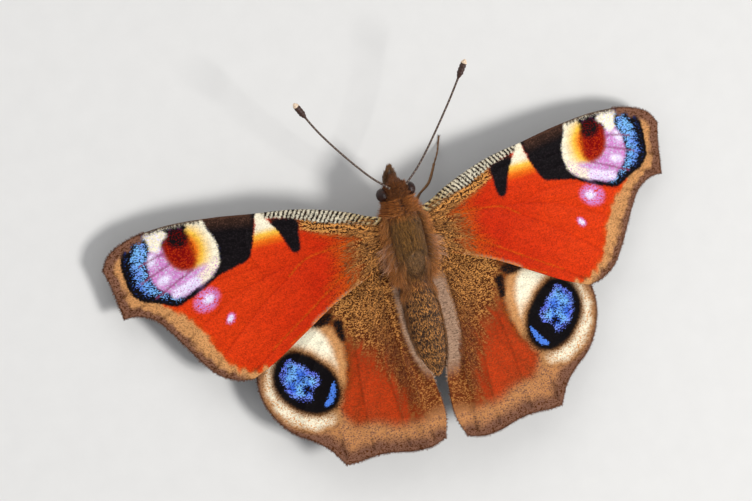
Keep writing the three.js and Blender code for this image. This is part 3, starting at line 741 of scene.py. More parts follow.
    # Cream edge over the eyespot, with small dark bars.
    crown = ramp(deep, 0.55, 0.3) * ramp(u, 18.1, 18.4) * ramp(u, 24.6, 23.6)
    paint.lay(crown * 0.9, c.cream * 0.62, c.black * 2, 0.35)
    paint.lay(crown * ramp(np.sin(along / CROWN_PITCH * TURN), 0.0, 0.6) * 0.75, c.black * 2)
    paint.lay(ramp(deep, 0.24, 0.08) * ramp(u, 12.6, 13.2) * 0.8, c.margin * 0.5)
    paint.dabs(CROWN_SPOTS)

    # Margins: grey-brown rim, with darker ends of veins.
    out, _ = paint.away(edges["costa"][5:] + edges["apex"][1:] + edges["margin"][1:])
    rim = np.interp(u, *widths["rim"]) + 0.16 * blotch
    rim_mask = ramp(out, rim + 0.3, rim - 0.3) * ramp(u + 0.6 * np.maximum(0, 2 - v), 23.5, 25)
    paint.lay(rim_mask, c.margin * 1.15, c.base_brown * 1.6, 0.3)
    paint.vein_ends(out, (0.25, 0.04), (2, 1), 0.45, c.base_brown * 1.2)
    paint.lay(ramp(out, 0.2, 0.04) * 0.45 * ramp(u, 15.5, 17), c.base_brown)


def paint_hindwing(paint):
    u, v = paint.at.T
    c = paint.colours
    edges, widths = EDGES["hindwing"], WIDTHS["hindwing"]
    flow = ripple(u, v, seed=4, size=5)
    streak = fanned(u, v, seed=38)

    # Umber ground, and the rust field in it.
    umber = c.rust * 0.3 + c.base_gold * 0.18 + c.base_brown * 0.5
    paint.lay(1, umber, c.base_brown * 1.5, 0.35)
    deep = ramp(v, -9, -14) * ramp(u, 1.5, 3.5)
    rust = c.rust * (0.75 + 0.2 * deep + 0.08 * streak)[:, None]
    field = ramp(paint.depth("rust") + 0.4 * flow + 0.35 * streak, -2.0, 1.4)
    paint.lay(field, rust, rust * 0.6 + c.base_gold * 0.05, 0.34)

    # Brown and gold scales of the base, in a narrowing strip beside the body.
    edge = np.interp(v, *widths["base"])
    base = ramp(u + 0.5 * flow + 0.7 * streak, edge + 2.6, edge - 1.4)
    far = ramp(v, -5, -13)[:, None]
    ground = mix(c.base_brown * 1.2, c.base_brown * 1.5 + c.rust * 0.12, far)
    specks = mix(c.base_gold, c.base_gold * 0.6 + c.rust * 0.12, far)
    paint.lay(base * 0.92, ground, specks, 0.46 - 0.16 * ramp(v, -6, -13))
    for line in VEINS["hindwing"][DARK_VEINS["hindwing"]]:
        paint.stroke(line, 0.04, 0.15, 0.3, c.base_brown)

    # Margins: tan band along the hem, then grey-brown rim.
    out, _ = paint.away(edges["costa"][3:] + edges["margin"][1:] + edges["hem"][1:])
    blotch = ripple(u, v, seed=27, size=1.6)
    band = np.interp(u, *widths["band"])
    band = ramp(out + 0.25 * flow, band + 0.6, band - 1.1)
    paint.lay(band, c.tan * 0.72 + c.rust * 0.1, c.margin * 1.1, 0.25)
    rim = np.interp(u, *widths["rim"])
    rim = ramp(out + 0.2 * blotch, rim + 0.7, rim - 0.5)
    paint.lay(rim, c.margin * 1.05, c.base_brown * 1.8, 0.28)
    paint.lay(ramp(out, 0.24, 0.04) * 0.55, c.base_brown)
    paint.vein_ends(out, (0.28, 0.05), (2.6, 0.8), 0.5, c.base_brown * 0.8)

    # Cream flank and skirt round the eyespot, each with a brown blurred edge.
    flank = paint.depth("flank")
    rough = flank + 0.1 * blotch
    paint.lay(ramp(flank, -1.0, -0.15) * 0.85, c.base_brown * 1.3, c.orange * 0.5, 0.35)
    paint.lay(ramp(rough, -0.5, 0.3), c.tan, c.tan * 0.75, 0.3)
    inward = 0.75 * ramp(u, 9.3, 7.4)
    paint.lay(ramp(rough - inward, -0.2, 1.1), c.cream * 1.08, c.cream * 0.85, 0.2)
    skirt = paint.depth("skirt")
    fading = ramp(u - 0.3 * (v + 15), 8.6, 11.2)
    paint.lay(ramp(skirt, -0.8, -0.05) * 0.95, c.tan * 0.8, c.tan * 0.5, 0.3)
    paint.lay(ramp(skirt + 0.15 * blotch, -0.4, 0.4) * fading, c.cream * 0.9, c.tan * 1.1, 0.2)
    paint.mark("spot", 0.22, c.black, c.base_brown, 0.3)
    paint.mark("bar", 0.22, c.black * 1.5, c.base_brown, 0.4)

    # Eyespot: black oval with blue scales.
    oval = paint.depth("oval")
    halo = ramp(oval + 0.1 * blotch, -0.85, -0.25)
    paint.lay(halo * 0.75, c.tan * 0.55, c.base_brown * 1.5, 0.3)
    paint.lay(ramp(oval, -0.4, -0.05) * 0.85, c.base_brown * 0.6)
    paint.lay(ramp(oval, -0.14, 0.12), c.black * 0.8, c.black, 0)
    blob = paint.depth("blob")
    light = 0.4 + 0.5 * ripple(u, v, seed=21, size=2.2) + 1.1 * (paint.chance - 0.5)
    edge = ramp(blob + 0.2 * blotch, 0.9, 0.1)[:, None] * 0.6
    tint = mix(mix(c.blue, c.pale_blue, np.clip(light, 0, 1)[:, None]), c.violet, edge)
    amount = 0.14 + 0.56 * ramp(blob, -0.1, 0.5) + 0.1 * blotch
    paint.lay(ramp(blob, -0.12, 0.06), c.black * 0.8, tint, amount)
    paint.mark("notch", 0.15, c.black * 0.8, c.blue, 0.15)
    crescent = paint.depth("crescent")
    tint = c.blue * 0.8 + c.pale_blue * 0.2
    paint.lay(ramp(crescent, -0.1, 0.06), c.black, tint, 0.4 + 0.5 * ramp(crescent, -0.05, 0.15))

    # Pale strip turned up beside the abdomen.
    near, along = paint.away(edges["inner"])
    wide = INNER_STRIP[paint.side_name]
    strip = ramp(near, wide, wide - 0.45) * ramp(v, -3.4, -5) * ramp(v, -15.2, -12.6)
    comb = 0.84 + 0.16 * np.sin(along / COMB_PITCH * TURN)
    paint.lay(strip, c.inner * comb[:, None], c.inner * 0.45, 0.2)
    line = ramp(np.abs(near - wide), 0.3, 0.05) * ramp(v, -3.5, -5) * ramp(v, -17, -13)
    paint.lay(line * 0.6, c.base_brown)


# Materials.


def solid(name, times=1.0):
    """A colour of the panel, lighter or darker, as a socket takes it."""
    return (*(colour_of(name) * times), 1)


class Finish:
    """A material and its nodes. What a node takes may be a value or another node's output."""

    def __init__(self, name, roughness, specular, sheen=0.0):
        self.made = bpy.data.materials.new(name)
        self.made.use_nodes = True
        self.shader = self.made.node_tree.nodes["Principled BSDF"]
        self.feed("Roughness", roughness)
        self.feed("Specular IOR Level", specular)
        self.feed("Sheen Weight", sheen)

    def feed(self, key, value, node=None):
        socket = (self.shader if node is None else node).inputs[key]
        if isinstance(value, bpy.types.NodeSocket):
            self.made.node_tree.links.new(value, socket)
        else:
            socket.default_value = value

    def add(self, kind, values=(), **settings):
        node = self.made.node_tree.nodes.new("ShaderNode" + kind)
        for key, value in settings.items():
            setattr(node, key, value)
        for key, value in dict(values).items():
            self.feed(key, value, node)
        return node

    def painted(self, name, output="Color"):
        return self.add("Attribute", attribute_name=name).outputs[output]

    def place(self):
        return self.add("TexCoord").outputs["Object"]

    def flat(self, u=1, v=1, turn=0.0):
        """Places on the flat wing, stretched along it and across it."""
        flat = self.add("UVMap", uv_map="flat").outputs[0]
        values = {"Vector": flat, "Scale": (u, v, 1), "Rotation": (0, 0, turn)}
        return self.add("Mapping", values).outputs[0]

    def noise(self, place, scale, detail):
        values = {"Vector": place, "Scale": scale, "Detail": detail}
        return self.add("TexNoise", values).outputs["Fac"]

    def cells(self, place, scale=1.0, randomness=1.0):
        """The distance from each cell's middle, and three random numbers for each cell."""
        values = {"Vector": place, "Scale": scale, "Randomness": randomness}
        cells = self.add("TexVoronoi", values).outputs
        return cells["Distance"], self.add("SeparateColor", {"Color": cells["Color"]}).outputs

    def spread(self, value, low, high, to_low=0.0, to_high=1.0):
        """A value's range from low to high, made into the other range."""
        keys = ("Value", "From Min", "From Max", "To Min", "To Max")
        return self.add("MapRange", dict(zip(keys, (value, low, high, to_low, to_high)))).outputs[0]

    def maths(self, operation, first, second):
        return self.add("Math", {0: first, 1: second}, operation=operation).outputs[0]

    def mixed(self, factor, first, second, way="MIX"):
        values = {0: factor, 6: first, 7: second}
        return self.add("Mix", values, data_type="RGBA", blend_type=way).outputs[2]

    def toned(self, colour, tone):
        grey = self.add("CombineColor", {"Red": tone, "Green": tone, "Blue": tone}).outputs[0]
        return self.mixed(1.0, colour, grey, "MULTIPLY")

    def done(self, colour, height, depth, strength):
        """The material with its base colour and a bump of the given depth."""
        bump = self.add("Bump", {"Height": height, "Distance": depth * MM, "Strength": strength})
        self.feed("Base Color", colour)
        self.feed("Normal", bump.outputs[0])
        return self.made


def scale_material(name):
    """Wing scales: two painted colours shared out over scale-sized cells, each cell a little
    lighter or darker than the next, in rows across the wing."""
    finish = Finish(name, 0.62, 0.04)
    distance, chance = finish.cells(finish.flat(*SCALE_ROWS), randomness=0.85)
    gap = finish.maths("SUBTRACT", finish.painted("share", "Fac"), chance[0])
    chosen = finish.spread(gap, -0.06, 0.06)
    colour = finish.mixed(chosen, finish.painted("ground"), finish.painted("second"))
    streak = finish.noise(finish.flat(30, 130), 1.0, 3.0)
    tone = finish.maths("MULTIPLY", finish.spread(chance[1], 0, 1, 0.84, 1.14),
                        finish.spread(streak, 0.3, 0.7, 0.9, 1.1))
    finish.feed("Roughness", finish.spread(chance[2], 0, 1, 0.5, 0.75))
    lift = finish.maths("SUBTRACT", chance[1], distance)
    return finish.done(finish.toned(colour, tone), lift, 0.02, 0.6)


def underside_material(name):
    """Underside: near black, with fine wavy lines across it and paler grey dust."""
    finish = Finish(name, 0.7, 0.2, 0.1)
    _, chance = finish.cells(finish.flat(*SCALE_ROWS))
    wavy = {"Scale": 1.0, "Distortion": 9.0, "Detail": 3.0, "Detail Scale": 2.2}
    waves = finish.add("TexWave", {"Vector": finish.flat(17, 5, 0.2), **wavy}).outputs["Fac"]
    dust = finish.noise(finish.flat(), 14.0, 4.0)
    amount = finish.maths("MULTIPLY", finish.spread(waves, 0.55, 0.95), dust)
    colour = finish.mixed(amount, solid("underside"), solid("margin", 0.45))
    colour = finish.mixed(finish.spread(waves, 0.35, 0.1), colour, solid("underside", 0.3))
    colour = finish.toned(colour, finish.spread(chance[1], 0, 1, 0.6, 1.4))
    return finish.done(colour, chance[0], 0.015, 0.5)


def grained_material(finish, grain, detail, tones, bump):
    """The painted colour, with a fine grain in its lightness and its surface."""
    noise = finish.noise(finish.place(), grain, detail)
    tone = finish.spread(noise, 0.3, 0.7, *tones)
    return finish.done(finish.toned(finish.painted("ground"), tone), noise, 0.02, bump)


def hair_material(name, sheen=0.1, roughness=0.6):
    """Hair and the skin under it, streaked and with a soft sheen."""
    return grained_material(Finish(name, roughness, 0.25, sheen), 9000.0, 2.0, (0.75, 1.25), 0.5)


def shell_material(name, roughness=0.4):
    """Bare shell of legs, antennae and mouthparts, pitted and slightly glossy."""
    return grained_material(Finish(name, roughness, 0.45), 6000.0, 3.0, (0.7, 1.2), 0.6)


def eye_material():
    """Compound eye: dark glossy brown with fine facets."""
    finish = Finish("compound_eye", 0.3, 0.35)
    place = finish.place()
    distance, _ = finish.cells(place, 15000.0, 0.25)
    tint = finish.spread(finish.noise(place, 1200.0, 2.0), 0.35, 0.65)
    colour = finish.mixed(tint, solid("eye", 0.6), solid("eye", 1.8))
    colour = finish.toned(colour, finish.spread(distance, 0.35, 0.7, 1.0, 0.45))
    return finish.done(colour, finish.maths("MULTIPLY", distance, -1.0), 0.03, 0.7)


def floor_material():
    """Pale matt floor, faintly mottled."""
    finish = Finish("pale_floor", 0.85, 0.2)
    noise = finish.noise(finish.place(), 400.0, 5.0)
    return finish.done(finish.mixed(noise, solid("floor"), solid("floor", 0.94)), noise, 0.05, 0.3)


# Meshes.


def to_row(points):
    """Places on the body, in the frame's axes."""
    p = np.asarray(points, float)
    return np.column_stack([p[:, 0], -p[:, 1], p[:, 2]]) + SHIFT


def unit(rows):
    """Each row made one long."""
    return rows / np.maximum(np.linalg.norm(rows, axis=1), 1e-9)[:, None]


def link(name, data):
    piece = bpy.data.objects.new(name, data)
    bpy.context.collection.objects.link(piece)
    return piece


def new_piece(name, points, faces):
    """A smooth mesh object from points in millimetres."""
    mesh = bpy.data.meshes.new(name)
    mesh.from_pydata((np.asarray(points) * MM).tolist(), [], faces)
    mesh.polygons.foreach_set("use_smooth", np.ones(len(mesh.polygons), bool))
    return link(name, mesh)


def values_of(items, key, width=1, kind=np.float32):
    """One value, or a row of values, for each item of a mesh."""
    found = np.empty(len(items) * width, kind)
    items.foreach_get(key, found)
    return found.reshape(-1, width) if width > 1 else found


def set_colours(mesh, name, colours):
    layer = mesh.attributes.new(name, "FLOAT_COLOR", "POINT")
    layer.data.foreach_set("color", np.column_stack([colours, np.ones(len(colours))]).ravel())


def set_map(mesh, name, places):
    """A UV map from a place for each point."""
    corners = values_of(mesh.loops, "vertex_index", kind=np.int32)
    mesh.uv_layers.new(name=name).data.foreach_set("uv", places[corners].ravel())


def finish_piece(piece, slot, made, *nodes):
    if not piece.data.materials:
        piece.data.materials.append(made)
    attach(piece, "root")
    if nodes:
        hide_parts(*nodes)


def only(piece):
    bpy.ops.object.select_all(action="DESELECT")
    piece.select_set(True)
    bpy.context.view_layer.objects.active = piece


def apply_modifier(piece, kind, **settings):
    only(piece)
    modifier = piece.modifiers.new(kind.lower(), kind)
    for key, value in settings.items():
        setattr(modifier, key, value)
    bpy.ops.object.modifier_apply(modifier=modifier.name)


def turn_outward(piece):
    only(piece)
    bpy.ops.object.mode_set(mode="EDIT")
    bpy.ops.mesh.select_all(action="SELECT")
    bpy.ops.mesh.normals_make_consistent(inside=False)
    bpy.ops.object.mode_set(mode="OBJECT")


class Tufts:
    """Tapered three-sided hairs gathered into one mesh."""

    SHARES = (0.0, 0.35, 0.7)
    TAPER = 0.55
    FLATNESS = 0.7
    PATCH = 0.003

    def __init__(self):
        self.parts = []

    def grow(self, roots, lie, up, length, width, root_colour, tip_colour, patch, lift, curl):
        """Adds a hair at each root. It sets off along its lie, lifted from the skin, and curls back
        to it."""
        lie = unit(lie)
        across = unit(np.cross(lie, up))
        over = np.cross(across, lie)
        length = np.broadcast_to(length, len(roots))[:, None]
        rings, tints, patches = [], [], []
        for t in (*self.SHARES, 1.0):
            rise = lift * t - (lift + curl) * t * t * 0.8
            middle = roots + lie * length * t + over * length * rise
            thick = width * (1 - self.TAPER * t) / 2 if t < 1 else 0
            for k in range(3 if t < 1 else 1):
                a = TURN * k / 3 + 0.5
                way = math.cos(a) * across + math.sin(a) * self.FLATNESS * over
                rings.append(middle + thick * way)
                tints.append(mix(root_colour, tip_colour, t))
                patches.append(patch + self.PATCH * np.array([k / 3 - 0.33, t - 0.5]))
        self.parts.append([np.stack(rows, 1) for rows in (rings, tints, patches)])

    def piece(self, name):
        rings, tints, patches = (np.concatenate(rows) for rows in zip(*self.parts))
        rings[..., 2] = np.maximum(rings[..., 2], 0)
        stack = []
        for r in range(len(self.SHARES) - 1):
            for k in range(3):
                a, b = r * 3 + k, r * 3 + (k + 1) % 3
                stack.append((a, b, b + 3, a + 3))
        top = 3 * (len(self.SHARES) - 1)
        tips = [(top + k, top + (k + 1) % 3, top + 3) for k in range(3)] + [(2, 1, 0)]
        base = np.arange(len(rings))[:, None, None] * rings.shape[1]
        faces = []
        for rows in (stack, tips):
            faces += (base + np.array(rows)).reshape(-1, len(rows[0])).tolist()
        piece = new_piece(name, rings.reshape(-1, 3), faces)
        set_colours(piece.data, "ground", tints.reshape(-1, 3))
        set_map(piece.data, "OFBake", patches.reshape(-1, 2))
        return piece


def closed_tube(rings, sides):
    """Faces of a tube closed at both ends, from the numbers of its rings and sides."""
    last = (rings - 1) * sides
    corners = [(r, k, (k + 1) % sides) for r in range(0, last, sides) for k in range(sides)]
    faces = [(r + k, r + after, r + sides + after, r + sides + k) for r, k, after in corners]
    return [*faces, tuple(range(sides))[::-1], tuple(last + k for k in range(sides))]


def tube_piece(name, slot, made, node, line, radius_at, sides, colour_at, step):
    """A tube along a smooth line of body places, with a radius and a colour at each share of it. It
    replaces a node, and its rings of points come back in the frame's axes."""
    run = smooth_line(line, step)
    ways = np.gradient(run, axis=0)
    ways /= np.linalg.norm(ways, axis=1)[:, None]
    normal = np.cross(ways[0], (0.3, 0.1, 1.0))
    rings, tints = [], []
    for place, way, share in zip(run, ways, np.linspace(0, 1, len(run))):
        normal = normal - way * (normal @ way)
        normal /= np.linalg.norm(normal)
        other = np.cross(way, normal)
        for k in range(sides):
            a = TURN * k / sides
            rings.append(place + radius_at(share) * (math.cos(a) * normal + math.sin(a) * other))
            tints.append(colour_at(share))
    rings = to_row(rings)
    rings[:, 2] = np.maximum(rings[:, 2], 0)
    piece = new_piece(name, rings, closed_tube(len(run), sides))
    turn_outward(piece)
    set_colours(piece.data, "ground", np.array(tints))
    finish_piece(piece, slot, made, node)
    return rings


def hairs_on_tube(tufts, rings, sides, colour, length, width, seed, every, lift):
    """Hairs on a tube made of rings of points, lying towards its tip."""
    rng = np.random.default_rng(seed)
    grid = rings.reshape(-1, sides, 3)
    middle = grid.mean(1)
    r, k = np.nonzero(rng.uniform(0, 1, (len(grid) - 2, sides)) < every)
    roots = grid[r, k]
    lie = unit(middle[r + 2] - middle[r]) + rng.normal(0, 0.2, (len(r), 3))
    tint = colour * rng.uniform(0.55, 1.5, len(r))[:, None]
    patch = np.column_stack([0.02 + 0.96 * k / sides, 0.02 + 0.96 * r / len(grid)])
    tufts.grow(roots, lie, unit(roots - middle[r]), length * rng.uniform(0.6, 1.2, len(r)), width,
               tint * 0.7, tint * 1.2, patch, lift, 0.1)


# Wings.


def rim_of(wing, step):
    return np.vstack([smooth_line(edge, step)[:-1] for edge in EDGES[wing].values()])


def place_wing(wing, side_name, u, v, w):
    """Flat wing places and a height over the wing's plane, as points in the frame's axes."""
    side = SIDES[side_name]
    pose = WING_POSE[wing]
    turn, widen, lengthen = 0, 1, 1
    if wing == "forewing":
        share = np.maximum(0, u / pose["length"])
        bend = TIP_DROOP * (share - share**3)
    else:
        turn = HINDWING_TURN[side_name]
        widen, lengthen = HINDWING_SPREAD[side_name]
        back = np.maximum(0, (-v - 6) / (pose["length"] - 6))
        fold = bell(u - 0.6, 0.7) * np.clip((-v - 4) / 4, 0, 1)
        bend = HINDWING_LIFT * back**2 + FOLD_HEIGHT * fold
    local = np.column_stack([side * np.where(u > 0, u * widen, u), -v * lengthen, bend + w])
    angles = [math.radians(a) for a in (-pose["rise"], side * pose["droop"], -side * turn)]
    hinge = np.array([side * HINGE_OUT, 0, pose["height"]])
    return local @ np.array(Euler(angles, "XYZ").to_matrix()).T + hinge + SHIFT


def drawn_in(wing, points):
    """How far the finished surface is drawn in towards the body at its root and inner edge."""
    if wing == "forewing":
        return DRAWN_IN[wing] * ramp(points[:, 0], DRAWN_REACH, 0)
    edges = [smooth_line(EDGES[wing][name], 0.5) for name in ("inner", "root")]
    near = np.min([distance_to_line(points, edge)[0] for edge in edges], axis=0)
    return DRAWN_IN[wing] * ramp(near, DRAWN_REACH, 0) * ramp(points[:, 1], -16.5, -13.5)


def relief(wing, points):
    """Height of the finished surface over the wing's plane: veins up, membrane sunk between."""
    lines = [smooth_line(line, 0.5) for line in VEINS[wing]]
    nearest = np.min([distance_to_line(points, line)[0] for line in lines], axis=0)
    rim, _ = distance_to_line(points, rim_of(wing, 0.5))
    vein = size_of("vein_height") * bell(nearest, VEIN_HALF_WIDTH) * ramp(rim, 0.1, 0.8)
    sag = -MEMBRANE_SAG * ramp(nearest, 0.1, 1.3) * ramp(rim, 0, 1.5)
    return SURFACE_LEVEL - 0.03 + vein + sag + 0.02 * ripple(*points.T, seed=31, size=3.5)


def flat_wing(wing):
    """The flat wing as a fine mesh of quads, and its points."""
    step = size_of("mesh_step")
    rim = rim_of(wing, step)
    low, high = rim.min(0), rim.max(0)
    net = []
    for k, row in enumerate(np.arange(low[1], high[1], step * 0.866)):
        places = np.arange(low[0] + k % 2 * step / 2, high[0], step)
        net.append(np.column_stack([places, np.full(len(places), row)]))
    net = np.vstack(net)
    away, _ = distance_to_line(net, np.vstack([rim, rim[:1]]))
    net = net[is_inside(net, rim) & (away > step * 0.5)]
    points = [Vector(p) for p in np.vstack([rim, net])]
    found, _, faces, *_ = delaunay_2d_cdt(points, [], [list(range(len(rim)))], 1, 1e-5)
    piece = new_piece(wing, np.array([(p.x, p.y, 0) for p in found]), faces)
    apply_modifier(piece, "SUBSURF", subdivision_type="SIMPLE", levels=2, render_levels=2)
    mesh = piece.data
    bpy.data.objects.remove(piece)
    return mesh, values_of(mesh.vertices, "co", 3)[:, :2].astype(float) / MM


def build_wings(wing, painter):
    mesh, points = flat_wing(wing)
    pull = drawn_in(wing, points)
    height = relief(wing, points) + (0.55 * pull if wing == "hindwing" else 0)
    top, below = scale_material(f"{wing}_scales"), underside_material(f"{wing}_underside")
    set_map(mesh, "flat", points / MAP_WIDTH + 0.5)
    spread = (points - points.min(0)) / (points.max(0) - points.min(0))
    set_map(mesh, "OFBake", spread * (0.48, 0.98) + 0.01)
    for side_name, side in SIDES.items():
        own = mesh.copy()
        own.name = f"{wing}_surface_{side_name}"
        paint = Paint(wing, side_name, points)
        painter(paint)
        set_colours(own, "ground", np.clip(paint.ground, 0, 1))
        set_colours(own, "second", np.clip(paint.second, 0, 1))
        own.attributes.new("share", "FLOAT", "POINT").data.foreach_set("value", paint.share)
        placed = place_wing(wing, side_name, points[:, 0] - pull, points[:, 1], height) * MM
        own.vertices.foreach_set("co", placed.ravel())
        if side > 0:
            own.flip_normals()
        piece = link(own.name, own)
        own.materials.append(top)
        own.materials.append(below)
        apply_modifier(piece, "SOLIDIFY", thickness=size_of("membrane") * MM, offset=-1,
                       material_offset=1, use_even_offset=False)
        # The underside's half of the bake map lies beside the upper side's.
        lower = values_of(own.polygons, "material_index", kind=np.int32)
        counts = values_of(own.polygons, "loop_total", kind=np.int32)
        patches = own.uv_layers["OFBake"].data
        places = values_of(patches, "uv", 2)
        places[np.repeat(lower, counts) == 1, 0] += 0.5
        patches.foreach_set("uv", places.ravel())
        finish_piece(piece, wing, top, f"{wing}_{side_name}")
    bpy.data.meshes.remove(mesh)
    strewn = {
        "fringe": (fringe(wing), hair_material(f"{wing}_fringe", 0.1, 0.7)),
        "hair": (wing_hair(wing), hair_material(f"{wing}_hair", 0.04, 0.65)),
    }
    for side_name in SIDES:
        for kind, (hairs, made) in strewn.items():
            piece = hairs_on_wing(f"{wing}_{kind}_{side_name}", wing, side_name, *hairs)
            finish_piece(piece, wing, made)


def hairs_on_wing(name, wing, side_name, u, v, way, turn, level, *looks):
    """Hairs at flat wing places, each turned a little from its way, and with the looks that Tufts
    takes."""
    way_u, way_v = way
    roots = place_wing(wing, side_name, u, v, level)
    tips = place_wing(wing, side_name, u + way_u - turn * way_v, v + way_v + turn * way_u, level)
    above = place_wing(wing, side_name, u, v, level + 1) - roots
    *shape_and_colours, lift, curl = looks
    rim = rim_of(wing, 1)
    patch = (np.column_stack([u, v]) - rim.min(0)) / (rim.max(0) - rim.min(0)) * 0.96 + 0.02
    tufts = Tufts()
    tufts.grow(roots, tips - roots, above, *shape_and_colours, patch, lift, curl)
    return tufts.piece(name)


def fringe(wing):
    """Fringe scales along the outer margins: places, ways and looks."""
    rng = np.random.default_rng(FRINGE_SEED)
    rows = []
    for name in FRINGED[wing]:
        line = smooth_line(EDGES[wing][name], 0.1)
        if name == "costa":
            line = line[line[:, 0] > FRINGE_START]
        way = np.gradient(line, axis=0)
        way /= np.linalg.norm(way, axis=1)[:, None]
        beside = float(name == "inner") * ramp(line[:, 1], -16, -14)
        rows.append(np.column_stack([line, -way[:, 1], way[:, 0], beside]))
    u, v, out_u, out_v, beside = np.repeat(np.vstack(rows), 2, axis=0).T
    middle_u, middle_v = WING_MIDDLE[wing]
    away = np.sign((u - middle_u) * out_u + (v - middle_v) * out_v)
    out_u, out_v = out_u * away, out_v * away
    count = len(u)
    u = u + out_u * (0.3 * beside - 0.08) + rng.normal(0, 0.03, count)
    v = v - out_v * 0.08 + rng.normal(0, 0.03, count)
    length = size_of("fringe") * rng.uniform(0.55, 1.1, count) * (1 + 0.9 * beside)
    tint = rng.uniform(0.6, 1.35, count)[:, None]
    turn = rng.normal(0, 0.25, count)
    brown = mix(colour_of("margin") * 0.7, colour_of("inner"), beside[:, None]) * tint
    level = SURFACE_LEVEL - 0.1 + 0.22 * beside
    return u, v, (out_u, out_v), turn, level, length, FRINGE_WIDTH, brown, brown * 1.3, 0.0, 0.0


def wing_hair(wing):
    """Long hair lying outwards over the base of a wing: places, ways and looks."""
    rng = np.random.default_rng(WING_HAIR_SEED)
    if wing == "forewing":
        count, way = 700, (1.0, -0.28)
        u = rng.uniform(0.05, 1, count) ** 1.5 * 4.6
        v = rng.uniform(-1.6, 3.2, count) * (1 + 0.1 * u)
        v = v - 0.42 * np.maximum(0, u - 1) * rng.uniform(0, 1, count)
    else:
        count, way = 1500, (0.55, -0.85)
        v = -rng.uniform(0.5, 17, count)
        u = rng.uniform(0, 1, count) ** 1.5 * np.interp(-v, *WIDTHS[wing]["hair"]) + 0.1
    inside = depth_in(np.column_stack([u, v]), rim_of(wing, 0.6)) > 0.15
    u, v = u[inside], v[inside]
    count = len(u)
    turn = rng.normal(0, 0.22, count) + (0.35 * v / 3 if wing == "forewing" else 0)
    gold, brown = colour_of("base_gold"), colour_of("base_brown")
    share = rng.uniform(0, 1, count)[:, None] ** 1.3
    tint = brown * 1.3 + (gold * 1.1 - brown) * share
    length = size_of("wing_hair") * rng.uniform(0.5, 1.15, count) * np.clip(1.15 - u / 9, 0.5, 1)
    if wing == "hindwing":
        far = ramp(v, -5, -11)[:, None] * 0.65
        tint = mix(tint, (colour_of("rust") * 0.3 + brown * 1.1) * (0.7 + 0.9 * share), far)
        reach = np.interp(-v, *WIDTHS[wing]["hair"])
        length = length * (1 - 0.65 * ramp(u / reach, 0.45, 1)) * (1 - 0.75 * ramp(v, -11, -16.5))
    return u, v, way, turn, SURFACE_LEVEL, length, WING_HAIR_WIDTH, tint * 0.8, tint * 1.3, 0.2, 0.1


# Body.


def abdomen_width(share):
    swell = 0.7 + 0.3 * np.sin(np.minimum(1, share / 0.4) * math.pi / 2)
    narrowing = np.maximum(0, (share - 0.35) / 0.65) ** 2.4
    return ABDOMEN_HALF_WIDTH * swell * np.sqrt(np.maximum(0.06, 1 - narrowing))


def body_sections():
    """The body's sections from head to tail as one table, the coat's depth in the last column."""
    shares = np.linspace(0.03, 1, 26)
    wide = abdomen_width(shares)
    forward, height = ABDOMEN_FRONT - shares * ABDOMEN_LENGTH, 5.5 - 0.6 * shares
    coat_depth = np.interp(shares, [0, 0.3, 1], [0.3, 0.14, 0.12])
    tail = np.column_stack([forward, wide, height, wide * 0.93, coat_depth])
    return np.vstack([HEAD_SECTIONS, THORAX_SECTIONS, tail])


def from_shield(forward, angle):
    """Distance over the back from the middle of the round shield behind the thorax."""
    return np.where(np.sin(angle) > 0, np.hypot(forward + SHIELD["rear"], 2 * np.cos(angle)), 9.0)


def from_groove(forward):
    """Distance from the nearest groove between two rings of the abdomen, in shares of a ring."""
    ring = (ABDOMEN_FRONT - forward) / ABDOMEN_LENGTH * ABDOMEN_RINGS % 1
    return np.minimum(ring, 1 - ring)


def skin_point(forward, angle, grown=0.0):
    """Points on the skin at a place along the body and an angle round it, 0 at the left and a
    quarter turn at the back. A positive growth moves them out."""
    places, *columns = body_sections()[::-1].T
    wide, middle, high, coat_depth = (np.interp(forward, places, column) for column in columns)
    power = np.interp(forward, [-4.2, -3.4, 4, 4.8], [2, 2.4, 2.4, 2.1])
    across, up = np.cos(angle), np.sin(angle)
    reach = (np.abs(across) ** power + np.abs(up) ** power) ** (-1 / power)
    groove = np.where(forward < ABDOMEN_FRONT, 0.09 * bell(from_groove(forward), 0.1), 0)
    disc = from_shield(forward, angle)
    boss = (0.2 * ramp(disc, 1.5, 0.7) - 0.06 * bell(disc - 1.45, 0.25)) * (up > 0)
    crease = -0.1 * bell(across, 0.06) * (up > 0) * (np.abs(forward - 1) < 2.5)
    wide = wide - coat_depth + grown - groove
    high = high - coat_depth + grown - groove + boss + crease
    return np.column_stack([wide * across * reach, forward, middle + high * up * reach])


def skin_colour(forward, angle, rng):
    """The coat's colour at a place of the skin, with painted shade towards the underside."""
    c = palette()
    f = forward[:, None]
    across, up = np.cos(angle)[:, None], np.sin(angle)[:, None]
    noise = rng.uniform(0, 1, (len(forward), 1))
    warm = ramp(f, 2.4, 3.9) + 0.9 * ramp(np.abs(across), 0.8, 0.99) + 0.35 * ramp(f, -2.6, -3.8)
    thorax = mix(c.olive, c.ginger, np.clip(warm, 0, 1))
    disc = from_shield(forward, angle)[:, None]
    thorax = mix(thorax, c.olive * 0.8 + c.inner * 0.12, ramp(disc, 1.4, 1.0) * 0.8)
    thorax = thorax * (1 - 0.42 * bell(disc - SHIELD["radius"], 0.2))
    thorax = thorax * (1 - 0.35 * bell(across, 0.07) * (up > 0) * (f > -0.6))
    head = c.ginger * 0.46 + c.base_brown * 0.6
    tail = mix(c.abdomen_dark, c.abdomen_gold, noise > 0.56)
    tail = mix(tail, c.ginger * 0.8, ramp(f, -6, -4.2) * 0.6)
    tail = tail * (1 - 0.4 * bell(from_groove(f), 0.13))
    colour = np.where(f > HEAD_REAR, head, np.where(f > ABDOMEN_FRONT, thorax, tail))
    # Painted shade: darker towards the underside of the body. The random factor is the hair's own
    # tone.
    return colour * (1 - 0.55 * ramp(up, -0.1, -0.6)) * (0.7 + 0.6 * noise)


